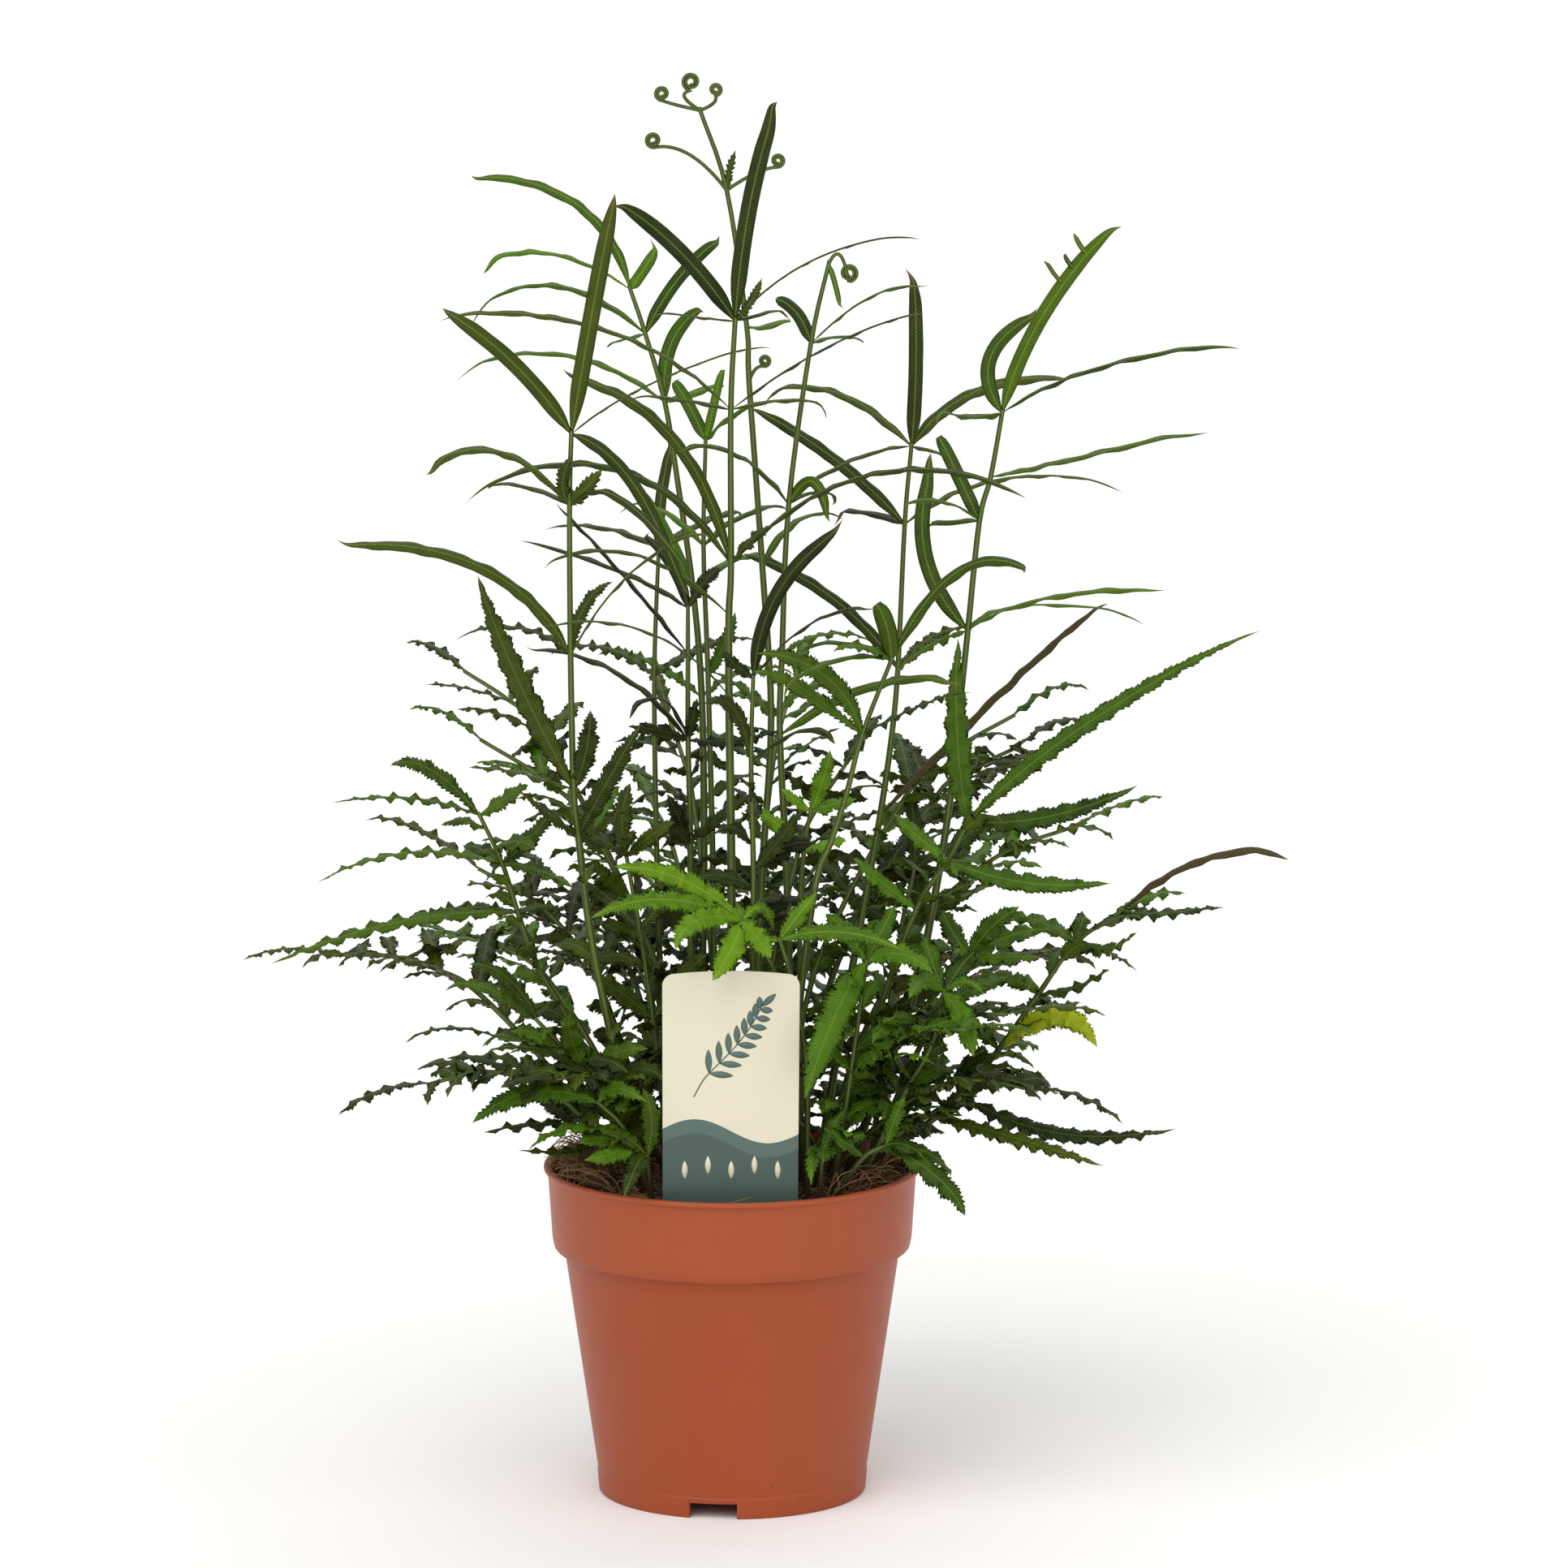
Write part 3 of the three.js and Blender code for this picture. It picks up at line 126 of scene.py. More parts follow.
def tubeShell(row, radii, sides=8, groove=0.0):
    # a circle of the given radius carried along the row of points, pressed in along its front by groove
    steps = unit(np.gradient(row, axis=0))
    across = unit(np.cross(np.array([0.0, 1.0, 0.0]), steps))
    over = np.cross(steps, across)
    turn = np.arange(sides) / sides * 2 * math.pi
    front = np.exp(-((np.cos(turn + math.pi / 2) - 1) / 0.12) ** 2)
    reach = np.asarray(radii)[:, None] * (1 - groove * front)[None, :]
    points = (row[:, None, :] + across[:, None, :] * (np.cos(turn) * reach)[..., None]
              + over[:, None, :] * (np.sin(turn) * reach)[..., None]).reshape(-1, 3)
    quads = outward(points, ringQuads(len(row), sides))
    return points, quads, np.tile(turn / (2 * math.pi), len(row))


def throughPoints(points, share):
    # a centripetal-looking curve: cubic pieces through the points with slopes from their neighbours
    points = np.asarray(points, float)
    slopes = np.gradient(points, axis=0)
    spans = len(points) - 1
    t = np.linspace(0, spans, spans * share + 1)
    k = np.minimum(t.astype(int), spans - 1)
    f = (t - k)[:, None]
    return ((2 * f ** 3 - 3 * f ** 2 + 1) * points[k] + (f ** 3 - 2 * f ** 2 + f) * slopes[k]
            + (3 * f ** 2 - 2 * f ** 3) * points[k + 1] + (f ** 3 - f ** 2) * slopes[k + 1])


# Camera, light and floor

# The photograph is 1932 by 1932 pixels, 0.37 mm each at the pot's axis, which stands at pixel 901.5.
studio = dict(pixels=1932, mmPerPixel=0.37, axisPixel=901.5, groundPixel=1843, elevation=10,
              distance=4.2, floorColour="F6F5F3", skyStrength=0.55, sensor=36,
              lamps=(("key", (-1.0, -1.9, 2.6), 60, 1.7), ("fill", (2.2, -1.8, 1.5), 60, 0.6),
                     ("back", (0.5, 1.6, 2.6), 60, 0.7)))


def makeStudio():
    # The camera looks down by the elevation, aimed so that the pot's axis and the ground fall on their
    # pixels. Its lens is the sensor's width times the distance over the width that it sees.
    up = math.radians(studio["elevation"])
    half = studio["pixels"] / 2
    aimX = (half - studio["axisPixel"]) * studio["mmPerPixel"] * mm
    aimZ = (studio["groundPixel"] - half) * studio["mmPerPixel"] * mm / math.cos(up)
    camera = bpy.data.cameras.new("camera")
    camera.sensor_width = studio["sensor"]
    camera.lens = studio["sensor"] * studio["distance"] / (studio["pixels"] * studio["mmPerPixel"] * mm)
    camera.clip_end = 100
    eye = bpy.data.objects.new("camera", camera)
    eye.location = (aimX, -studio["distance"] * math.cos(up), aimZ + studio["distance"] * math.sin(up))
    eye.rotation_euler = (math.pi / 2 - up, 0, 0)
    scene.collection.objects.link(eye)
    scene.camera = eye
    for name, place, spread, strength in studio["lamps"]:  # wide soft lamps, as even over the whole floor
        light = bpy.data.lights.new(name, "SUN")
        light.angle = math.radians(spread)
        light.energy = strength
        lamp = bpy.data.objects.new(name, light)
        lamp.location = place
        lamp.rotation_euler = (Vector((0, 0, 0.3)) - Vector(place)).to_track_quat("-Z", "Y").to_euler()
        scene.collection.objects.link(lamp)
    world = bpy.data.worlds.new("soft studio")
    world.use_nodes = True
    sky = world.node_tree.nodes["Background"]
    sky.inputs["Color"].default_value = (1, 1, 1, 1)
    sky.inputs["Strength"].default_value = studio["skyStrength"]
    scene.world = world
    scene.view_settings.view_transform = "Standard"
    plane = bpy.data.meshes.new("floor")
    plane.from_pydata([(-9, -9, 0), (9, -9, 0), (9, 9, 0), (-9, 9, 0)], [], [(0, 1, 2, 3)])
    paper, tree = newMaterial("white paper sweep")
    white = linear(studio["floorColour"])
    shader = addNode(tree, "BsdfPrincipled", {"Base Color": white, "Roughness": 0.9})
    addNode(tree, "OutputMaterial", links={"Surface": shader.outputs[0]})
    plane.materials.append(paper)
    floor = bpy.data.objects.new("floor", plane)
    scene.collection.objects.link(floor)
    print("studio ready")


makeStudio()


# The fronds, as the part's source plans them

# A stem is its foot (x, y) in the soil and its points (across, up, depth) in the front view. A blade is
# (stem point, middle across, middle up, tip across, tip up, tip depth from its root, width, turn to the
# viewer in degrees, kind). A curl's tip is the middle of its coil and its width is the coil's radius.
shownFronds = [
    dict(name="tall_left", tone="deep", foot=[-40, -22], thick=2.4,
         stem=[[-55, 215, -30], [-64, 262, -33], [-69, 306, -35], [-71, 327, -36], [-72, 388, -37],
           [-72, 456, -38], [-71, 488, -38]],
         blades=[
           [6, -61, 545, -51, 595, -6, 9, 90, "line"], [6, -97, 520, -128, 543, -15, 8.5, 80, "line"],
           [6, -35, 510, 20, 529, -30, 4.5, 8, "line"], [6, -43, 465, -20, 412, 12, 7, 60, "line"],
           [5, -104, 480, -138, 470, -25, 7, 30, "line"], [5, -92, 465, -112, 466, 20, 5, 15, "line"],
           [5, -75, 466, -71, 478, -5, 10, 90, "toothed"], [5, -66, 462, -57, 472, -9, 9, 80, "toothed"],
           [5, -50, 459, -19, 425, -28, 5.5, 30, "line"], [4, -112, 428, -176, 437, -30, 8, 45, "line"],
           [4, -95, 401, -127, 397, 25, 7, 12, "wavy"], [4, -66, 410, -53, 423, 10, 7, 60, "toothed"],
           [4, -45, 425, -8, 447, -24, 4.5, 15, "line"], [3, -97, 380, -113, 424, -14, 13, 85, "wavy"],
           [3, -97, 335, -118, 337, -12, 9, 10, "wavy"], [3, -65, 345, -63, 363, -12, 11, 85, "toothed"],
           [2, -56, 330, -41, 356, -15, 11, 75, "toothed"], [2, -56, 312, -45, 320, -30, 10, 40, "toothed"],
           [2, -82, 316, -95, 327, -22, 10, 40, "toothed"],
         ]),
    dict(name="tall_centre", tone="deep", foot=[2, -12], thick=2.6,
         stem=[[0, 230, -15], [0, 290, -18], [-1, 370, -20], [-1, 407, -20], [0, 430, -21],
           [0, 500, -22], [2, 540, -22]],
         blades=[
           [6, 9, 594, 22, 640, -4, 9, 90, "line"], [6, -22, 570, -50, 592, -18, 9, 80, "line"],
           [6, -15, 541, -34, 543, -25, 4.5, 15, "line"], [6, 38, 567, 86, 577, -30, 4.5, 10, "line"],
           [6, 15, 544, 26, 546, 14, 4.5, 12, "line"], [6, 9, 549, 14, 560, 8, 5, 80, "toothed"],
           [5, -55, 535, -128, 541, -38, 5.5, 20, "line"], [5, -22, 505, -48, 508, 18, 4.5, 20, "line"],
           [5, 44, 528, 87, 543, -26, 4.5, 15, "line"], [5, 25, 505, 46, 503, 22, 4.5, 20, "line"],
           [4, -52, 474, -122, 463, 18, 6, 30, "line"], [4, -30, 492, -82, 518, 26, 7, 50, "line"],
           [4, 9, 441, 18, 447, -16, 7, 50, "toothed"], [4, 62, 470, 133, 460, -38, 5.5, 25, "line"],
           [3, -42, 434, -84, 430, -26, 5, 20, "line"], [2, -38, 399, -84, 401, -32, 5, 20, "line"],
         ]),
    dict(name="tall_unrolling", tone="mid", foot=[13, 8], thick=2.2,
         stem=[[12, 230, 8], [14, 290, 10], [18, 360, 12], [14, 430, 12], [8, 515, 10], [7, 540, 9],
           [-2, 602, 6], [-14, 638, 4]],
         blades=[
           [7, -21, 644, -18, 651, 0, 4, 1, "curl"], [7, -24, 640, -31, 645, -6, 3.2, 1, "curl"],
           [7, -8, 641, -7, 647, -4, 2.8, -1, "curl"], [6, -19, 618, -35, 624, -8, 3.4, 1, "curl"],
           [6, -1, 610, 2, 620, -3, 5, 85, "toothed"], [6, 11, 610, 21, 616, 5, 3, -1, "curl"],
           [5, 16, 541, 30, 546, 16, 5, 30, "line"], [4, 11, 521, 15, 525, 6, 2.6, -1, "curl"],
           [2, 34, 374, 51, 379, 22, 7, 20, "wavy"], [2, 8, 372, -12, 384, 24, 7, 30, "wavy"],
           [3, 30, 452, 52, 455, 34, 5, 20, "line"],
         ]),
    dict(name="tall_back_left", tone="fresh", foot=[-14, 30], thick=2.2,
         stem=[[-14, 230, 34], [-13, 300, 36], [-14, 370, 38], [-18, 420, 40], [-25, 470, 42],
           [-31, 508, 43], [-40, 540, 44], [-47, 561, 45]],
         blades=[
           [7, -73, 602, -126, 616, 25, 6, 35, "line"], [7, -41, 570, -34, 582, 8, 6.5, 80, "line"],
           [7, -84, 577, -118, 570, -20, 5, 20, "line"], [6, -24, 567, -3, 587, 12, 7, 75, "line"],
           [6, -84, 564, -126, 550, 40, 5.5, 25, "line"], [6, -50, 538, -58, 536, 14, 5.5, 20, "line"],
           [5, -28, 536, -13, 553, 14, 8, 80, "line"], [5, -15, 514, -1, 520, 24, 5.5, 40, "line"],
           [5, -78, 531, -130, 525, 34, 5, 20, "line"], [3, -30, 446, -44, 470, 26, 7, 60, "line"],
           [3, -2, 434, 22, 440, 42, 6, 30, "line"], [2, -40, 388, -66, 392, 44, 7, 25, "wavy"],
           [2, 8, 384, 30, 382, 46, 7, 25, "wavy"],
         ]),
    dict(name="tall_right_of_centre", tone="mid", foot=[24, 0], thick=2.2,
         stem=[[26, 230, -2], [25, 290, -4], [22, 352, -5], [23, 390, -6], [26, 458, -6],
           [36, 531, -8], [44, 567, -9]],
         blades=[
           [6, 49, 571, 53, 563, 2, 4, -1, "curl"], [6, 47, 557, 49, 547, -4, 3, 70, "line"],
           [5, 29, 546, 18, 553, 14, 7, 70, "line"], [5, 62, 551, 85, 555, -26, 4.5, 15, "line"],
           [5, 50, 535, 61, 533, 22, 4.5, 15, "line"], [4, 3, 480, -24, 483, -34, 6, 30, "line"],
           [4, 37, 468, 44, 449, -12, 6, 70, "line"], [4, 38, 464, 51, 461, 18, 4.5, 15, "line"],
           [2, 62, 374, 101, 377, -44, 7, 45, "line"], [3, 44, 399, 66, 396, 30, 5.5, 20, "wavy"],
         ]),
    dict(name="tall_right_upright", tone="deep", foot=[40, 16], thick=2.2,
         stem=[[52, 225, 18], [61, 275, 20], [68, 315, 20], [73, 350, 20], [76, 383, 20],
           [79, 450, 19], [82, 486, 18]],
         blades=[
           [6, 84, 525, 83, 567, 2, 8, 90, "line"], [6, 46, 512, 10, 511, 32, 6, 30, "line"],
           [6, 112, 512, 156, 519, 30, 7, 45, "line"], [6, 93, 483, 101, 479, -16, 4, 20, "line"],
           [6, 57, 480, 28, 463, -32, 4.5, 12, "line"], [5, 46, 481, 8, 505, 14, 7, 55, "line"],
           [5, 62, 456, 46, 457, 24, 6, 30, "line"], [5, 125, 472, 185, 469, 44, 5, 20, "line"],
           [4, 45, 417, 4, 438, 12, 7, 50, "line"], [4, 92, 398, 112, 404, 30, 7, 25, "wavy"],
           [2, 125, 374, 172, 416, 4, 6, 30, "line"], [1, 78, 300, 92, 316, 36, 9, 40, "toothed"],
         ]),
    dict(name="tall_far_right", tone="mid", foot=[52, -8], thick=2.4,
         stem=[[70, 195, -10], [84, 235, -12], [92, 275, -14], [99, 320, -15], [103, 360, -16],
           [107, 400, -16], [112, 450, -16], [117, 470, -16], [122, 499, -16]],
         blades=[
           [8, 140, 543, 173, 585, -15, 8, 75, "line"], [8, 165, 519, 229, 530, -20, 5, 20, "line"],
           [8, 117, 525, 140, 546, 15, 8, 80, "line"], [8, 105, 497, 91, 500, -25, 6, 30, "line"],
           [7, 155, 479, 219, 495, 26, 5, 20, "line"], [6, 102, 472, 92, 493, 14, 7.5, 75, "line"],
           [6, 97, 458, 79, 458, -22, 5.5, 20, "line"], [6, 100, 450, 86, 449, 8, 5.5, 20, "line"],
           [5, 140, 414, 193, 418, -38, 5.5, 20, "line"], [5, 135, 412, 195, 407, 32, 5, 12, "line"],
           [5, 87, 438, 94, 482, 8, 8.5, 80, "line"], [5, 88, 392, 74, 380, -30, 6, 30, "wavy"],
         ]),
    dict(name="short_right", tone="mid", foot=[24, -30], thick=2.2,
         stem=[[30, 220, -36], [38, 283, -40], [45, 303, -42], [52, 325, -43], [59, 352, -44],
           [72, 386, -45]],
         blades=[
           [5, 70, 400, 65, 412, -10, 10, 85, "line"], [5, 102, 426, 134, 425, -20, 7, 40, "line"],
           [5, 58, 392, 45, 390, -16, 8, 30, "wavy"], [5, 50, 394, 28, 390, 10, 6, 20, "line"],
           [5, 48, 386, 20, 372, -28, 6, 20, "line"], [4, 43, 378, 12, 390, -20, 11, 70, "toothed"],
           [4, 30, 374, 10, 381, -2, 9, 55, "toothed"], [4, 82, 364, 107, 373, -26, 8, 25, "wavy"],
         ]),
    dict(name="slim_back_left", tone="deep", foot=[-30, 34], thick=2,
         stem=[[-33, 230, 38], [-35, 300, 42], [-36, 380, 46], [-34, 440, 48]],
         blades=[
           [3, -33, 465, -28, 492, 22, 6.5, 70, "line"], [3, -58, 450, -86, 452, 40, 5.5, 25, "line"],
           [3, -12, 454, 8, 460, 42, 5.5, 25, "line"], [2, -60, 394, -88, 392, 46, 8, 25, "wavy"],
           [2, -10, 396, 12, 398, 50, 8, 25, "wavy"],
         ]),
    dict(name="young_centre", tone="fresh", foot=[-6, 20], thick=2,
         stem=[[-8, 230, 22], [-9, 300, 24], [-11, 380, 26], [-13, 440, 26], [-12, 489, 26]],
         blades=[
           [4, -20, 506, -28, 519, 8, 7, 75, "line"], [4, -8, 507, -4, 524, 4, 5, 60, "line"],
           [4, -3, 498, 9, 505, -12, 6, 30, "line"], [3, 5, 455, 30, 461, 28, 5, 15, "line"],
           [3, -30, 456, -52, 462, 24, 5, 20, "line"], [2, -4, 394, 2, 410, 10, 8, 60, "toothed"],
         ]),
    # dark_left and dark_centre take the dark tone, a darker copy of the leaf that is painted shade
    dict(name="dark_left", tone="dark", foot=[-20, 8], thick=2,
         stem=[[-19, 230, 10], [-19, 303, 12], [-20, 350, 12], [-20, 390, 13], [-20, 411, 14]],
         blades=[
           [4, -50, 428, -98, 444, 20, 5, 15, "line"], [4, -12, 424, -5, 430, 10, 8, 60, "toothed"],
           [4, -28, 432, -42, 447, 24, 6, 50, "line"], [3, -50, 427, -80, 459, -15, 5, 20, "line"],
           [2, -52, 381, -94, 393, -26, 6, 30, "line"], [2, -18, 359, -16, 369, -8, 13, 85, "toothed"],
           [2, -32, 354, -47, 356, -12, 10, 50, "toothed"], [2, -32, 369, -49, 361, -24, 5, 15, "line"],
           [2, 2, 350, 22, 355, -14, 9, 40, "toothed"], [1, -24, 313, -29, 325, -6, 10, 60, "toothed"],
           [1, -6, 314, 8, 324, -16, 9, 50, "toothed"],
         ]),
    dict(name="dark_centre", tone="dark", foot=[11, -28], thick=2,
         stem=[[10, 230, -28], [10, 290, -30], [9, 340, -30], [10, 378, -30]],
         blades=[
           [3, 22, 418, 50, 445, -20, 8, 65, "line"], [3, 35, 402, 63, 410, -32, 5, 20, "line"],
           [3, 2, 384, -4, 390, -8, 8, 60, "toothed"], [2, 1, 364, -12, 366, -12, 8, 60, "toothed"],
           [2, 32, 354, 47, 349, -20, 5.5, 20, "line"], [1, 22, 304, 32, 318, -16, 10, 60, "toothed"],
         ]),
    dict(name="low_left_long", tone="mid", foot=[-44, -12], thick=1.9,
         stem=[[-72, 215, -18], [-88, 245, -20], [-97, 270, -21], [-104, 293, -22], [-114, 315, -23]],
         blades=[
           [4, -136, 336, -154, 338, -8, 9, 60, "toothed"], [4, -145, 323, -181, 321, -16, 8, 20, "wavy"],
           [4, -102, 323, -92, 329, -14, 10, 50, "toothed"], [3, -145, 298, -188, 285, -22, 9, 20, "wavy"],
           [3, -113, 299, -123, 301, 18, 10, 40, "toothed"], [3, -92, 304, -80, 319, 10, 10, 50, "toothed"],
           [3, -88, 290, -70, 282, -20, 9, 30, "wavy"], [2, -150, 266, -208, 247, -26, 10, 30, "wavy"],
           [2, -125, 272, -150, 264, 26, 9, 30, "wavy"], [2, -86, 273, -76, 271, 20, 9, 30, "toothed"],
         ]),
    dict(name="low_left_middle", tone="mid", foot=[-38, -38], thick=1.8,
         stem=[[-54, 180, -42], [-66, 197, -44], [-88, 221, -47]],
         blades=[
           [2, -98, 232, -106, 243, -8, 15, 80, "toothed"], [2, -112, 236, -131, 235, 12, 9, 40, "wavy"],
           [2, -100, 240, -117, 248, -22, 10, 50, "toothed"], [1, -88, 208, -110, 208, -24, 9, 25, "wavy"],
           [1, -86, 199, -109, 198, 20, 9, 20, "wavy"], [1, -72, 212, -73, 224, -14, 14, 80, "toothed"],
           [1, -52, 206, -38, 208, -16, 12, 60, "toothed"],
         ]),
    dict(name="low_left_front", tone="fresh", foot=[-36, -52], thick=1.7,
         stem=[[-48, 170, -56], [-60, 183, -58]],
         blades=[
           [1, -90, 188, -117, 174, -6, 12, 60, "toothed"], [1, -69, 190, -74, 198, 8, 12, 75, "toothed"],
           [1, -52, 190, -38, 184, -14, 13, 60, "toothed"], [0, -72, 172, -92, 162, -8, 9, 30, "wavy"],
           [0, -50, 162, -66, 158, -22, 13, 60, "toothed"],
         ]),
    dict(name="low_left_rim", tone="deep", foot=[-52, -26], thick=1.7,
         stem=[[-62, 164, -30], [-72, 172, -32]],
         blades=[
           [1, -92, 172, -114, 168, 4, 9, 25, "wavy"], [1, -80, 180, -92, 186, 22, 11, 50, "toothed"],
           [1, -66, 182, -56, 190, -10, 12, 60, "toothed"], [0, -76, 160, -96, 162, -24, 8, 30, "wavy"],
         ]),
    dict(name="bright_front", tone="bright", foot=[22, -44], thick=1.8,
         stem=[[24, 205, -47], [20, 242, -50], [5, 267, -55]],
         blades=[
           [2, -22, 286, -52, 292, -18, 11, 65, "toothed"], [2, -30, 277, -62, 269, -36, 11, 60, "toothed"],
           [2, -14, 268, -25, 256, -44, 12, 75, "toothed"], [2, 1, 256, -8, 240, -20, 15, 80, "toothed"],
           [2, 12, 259, 18, 251, -30, 11, 70, "toothed"], [2, 14, 273, 19, 262, 14, 12, 60, "toothed"],
         ]),
    dict(name="bright_right", tone="bright", foot=[34, -44], thick=1.8,
         stem=[[34, 200, -48], [27, 240, -51], [22, 258, -53]],
         blades=[
           [2, 48, 262, 76, 255, -22, 10, 60, "toothed"], [2, 30, 269, 39, 280, 6, 11, 70, "toothed"],
           [2, 10, 262, 2, 276, 22, 10, 50, "toothed"],
         ]),
    dict(name="drooping_right", tone="fresh", foot=[46, -36], thick=1.8,
         stem=[[54, 195, -46], [61, 248, -56]],
         blades=[
           [1, 47, 224, 33, 186, -18, 17, 80, "toothed"], [1, 76, 252, 91, 243, -12, 12, 60, "toothed"],
           [1, 52, 262, 42, 270, 18, 11, 50, "toothed"], [1, 68, 262, 74, 274, 10, 11, 60, "toothed"],
           [0, 66, 208, 78, 214, -22, 11, 50, "toothed"],
         ]),
    dict(name="rosette_right", tone="fresh", foot=[58, -28], thick=1.8,
         stem=[[78, 186, -40], [90, 208, -46], [96, 234, -50]],
         blades=[
           [2, 104, 222, 109, 205, -16, 13, 80, "toothed"], [2, 87, 240, 80, 232, -24, 12, 60, "toothed"],
           [2, 90, 250, 88, 260, 12, 12, 60, "toothed"], [2, 106, 239, 114, 233, -4, 11, 50, "toothed"],
           [2, 104, 246, 110, 252, 22, 12, 60, "toothed"], [1, 80, 216, 70, 218, -26, 11, 50, "toothed"],
         ]),
    dict(name="low_right_broad", tone="fresh", foot=[60, -14], thick=1.8,
         stem=[[82, 200, -26], [96, 228, -30], [108, 250, -34]],
         blades=[
           [2, 117, 263, 130, 273, -10, 16, 75, "toothed"], [2, 128, 260, 146, 262, 16, 11, 40, "wavy"],
           [2, 122, 250, 138, 251, -26, 11, 40, "toothed"], [2, 100, 262, 96, 272, 14, 11, 60, "toothed"],
           [1, 112, 236, 126, 240, 20, 11, 40, "toothed"],
         ]),
    dict(name="low_right_long", tone="mid", foot=[58, 4], thick=2,
         stem=[[98, 178, -4], [122, 206, -6], [140, 232, -8], [157, 256, -10], [178, 271, -11]],
         blades=[
           [4, 212, 294, 253, 299, -20, 6, 30, "line"], [4, 196, 270, 223, 274, -28, 10, 30, "wavy"],
           [4, 193, 278, 209, 279, 24, 8, 30, "wavy"], [3, 140, 266, 120, 268, 24, 11, 30, "wavy"],
           [3, 172, 254, 182, 262, -26, 11, 40, "toothed"], [2, 158, 236, 172, 246, -20, 9, 30, "wavy"],
           [2, 124, 240, 108, 238, 28, 11, 40, "toothed"], [2, 150, 226, 160, 229, 22, 9, 40, "wavy"],
           [1, 148, 222, 166, 208, -22, 13, 70, "toothed"], [1, 134, 209, 141, 205, 24, 9, 30, "toothed"],
           [1, 110, 216, 98, 216, 30, 10, 40, "toothed"],
         ]),
    dict(name="low_right_wide", tone="deep", foot=[50, -18], thick=1.8,
         stem=[[74, 166, -22], [90, 176, -24], [104, 186, -26]],
         blades=[
           [2, 150, 168, 201, 172, -24, 11, 35, "wavy"], [2, 128, 191, 151, 185, 18, 9, 30, "wavy"],
           [2, 116, 198, 134, 196, 32, 9, 30, "wavy"], [1, 130, 166, 167, 155, -44, 10, 35, "wavy"],
           [2, 108, 200, 122, 204, -14, 11, 50, "toothed"], [1, 84, 188, 76, 196, -22, 11, 50, "toothed"],
         ]),
    dict(name="low_right_rim", tone="fresh", foot=[48, -48], thick=1.7,
         stem=[[60, 158, -56], [70, 163, -58]],
         blades=[
           [1, 92, 150, 106, 132, -16, 12, 55, "toothed"], [1, 88, 160, 101, 148, 10, 9, 40, "wavy"],
           [1, 74, 176, 78, 186, -6, 12, 60, "toothed"], [0, 50, 166, 42, 172, -12, 11, 50, "toothed"],
         ]),
    dict(name="rim_left_of_label", tone="mid", foot=[-36, -56], thick=1.6,
         stem=[[-38, 158, -62]],
         blades=[
           [0, -42, 156, -48, 141, -24, 10, 60, "toothed"], [0, -48, 168, -58, 170, -12, 11, 50, "toothed"],
           [0, -36, 176, -40, 190, -4, 11, 60, "toothed"],
         ]),
    dict(name="rim_right_of_label", tone="fresh", foot=[40, -56], thick=1.6,
         stem=[[41, 158, -62]],
         blades=[
           [0, 37, 160, 36, 146, -14, 9, 70, "toothed"], [0, 52, 166, 62, 167, -2, 11, 50, "toothed"],
           [0, 46, 172, 52, 180, 6, 10, 60, "toothed"],
         ]),
    dict(name="upper_right_wavy", tone="fresh", foot=[44, -8], thick=2,
         stem=[[64, 215, -20], [84, 272, -26], [98, 294, -28], [107, 312, -30]],
         blades=[
           [3, 102, 352, 102, 396, -6, 14, 85, "wavy"], [3, 160, 357, 237, 401, -18, 10, 70, "wavy"],
           [3, 145, 315, 182, 329, -24, 11, 65, "wavy"], [3, 119, 305, 128, 318, 22, 9, 30, "wavy"],
           [2, 135, 284, 171, 285, -16, 11, 60, "wavy"], [2, 84, 306, 74, 316, 18, 10, 50, "toothed"],
           [2, 112, 296, 118, 306, 30, 9, 40, "toothed"], [1, 66, 286, 56, 296, -16, 11, 50, "toothed"],
         ]),
    dict(name="young_light", tone="bright", foot=[32, -16], thick=1.6,
         stem=[[31, 262, -18], [33, 299, -20], [36, 317, -21]],
         blades=[
           [2, 41, 330, 45, 345, -4, 11, 80, "toothed"], [2, 46, 320, 57, 323, 10, 9, 50, "toothed"],
           [2, 29, 322, 23, 327, -10, 9, 60, "toothed"], [1, 22, 310, 10, 318, 10, 9, 50, "toothed"],
           [1, 43, 302, 52, 304, -14, 9, 40, "toothed"],
         ]),
    dict(name="left_inner", tone="deep", foot=[-28, -8], thick=1.8,
         stem=[[-36, 220, -8], [-42, 262, -6], [-48, 296, -4]],
         blades=[
           [2, -50, 314, -46, 330, 6, 11, 70, "toothed"], [2, -64, 306, -78, 308, 16, 10, 40, "toothed"],
           [2, -36, 306, -26, 312, -10, 10, 50, "toothed"], [1, -56, 276, -68, 284, 26, 11, 50, "toothed"],
           [1, -28, 278, -18, 288, -16, 11, 60, "toothed"], [0, -52, 234, -64, 240, -14, 12, 60, "toothed"],
           [0, -22, 240, -12, 250, -10, 12, 60, "toothed"],
         ]),
    dict(name="right_inner", tone="deep", foot=[64, 16], thick=1.8,
         stem=[[72, 220, 26], [78, 262, 32], [84, 290, 36]],
         blades=[
           [2, 84, 308, 82, 326, 4, 10, 70, "toothed"], [2, 100, 300, 114, 304, 16, 10, 40, "wavy"],
           [2, 70, 300, 58, 304, 16, 10, 40, "toothed"], [1, 94, 272, 108, 276, -12, 11, 50, "toothed"],
           [1, 62, 272, 50, 280, 22, 11, 50, "toothed"], [0, 88, 232, 102, 236, 14, 12, 40, "toothed"],
         ]),
]

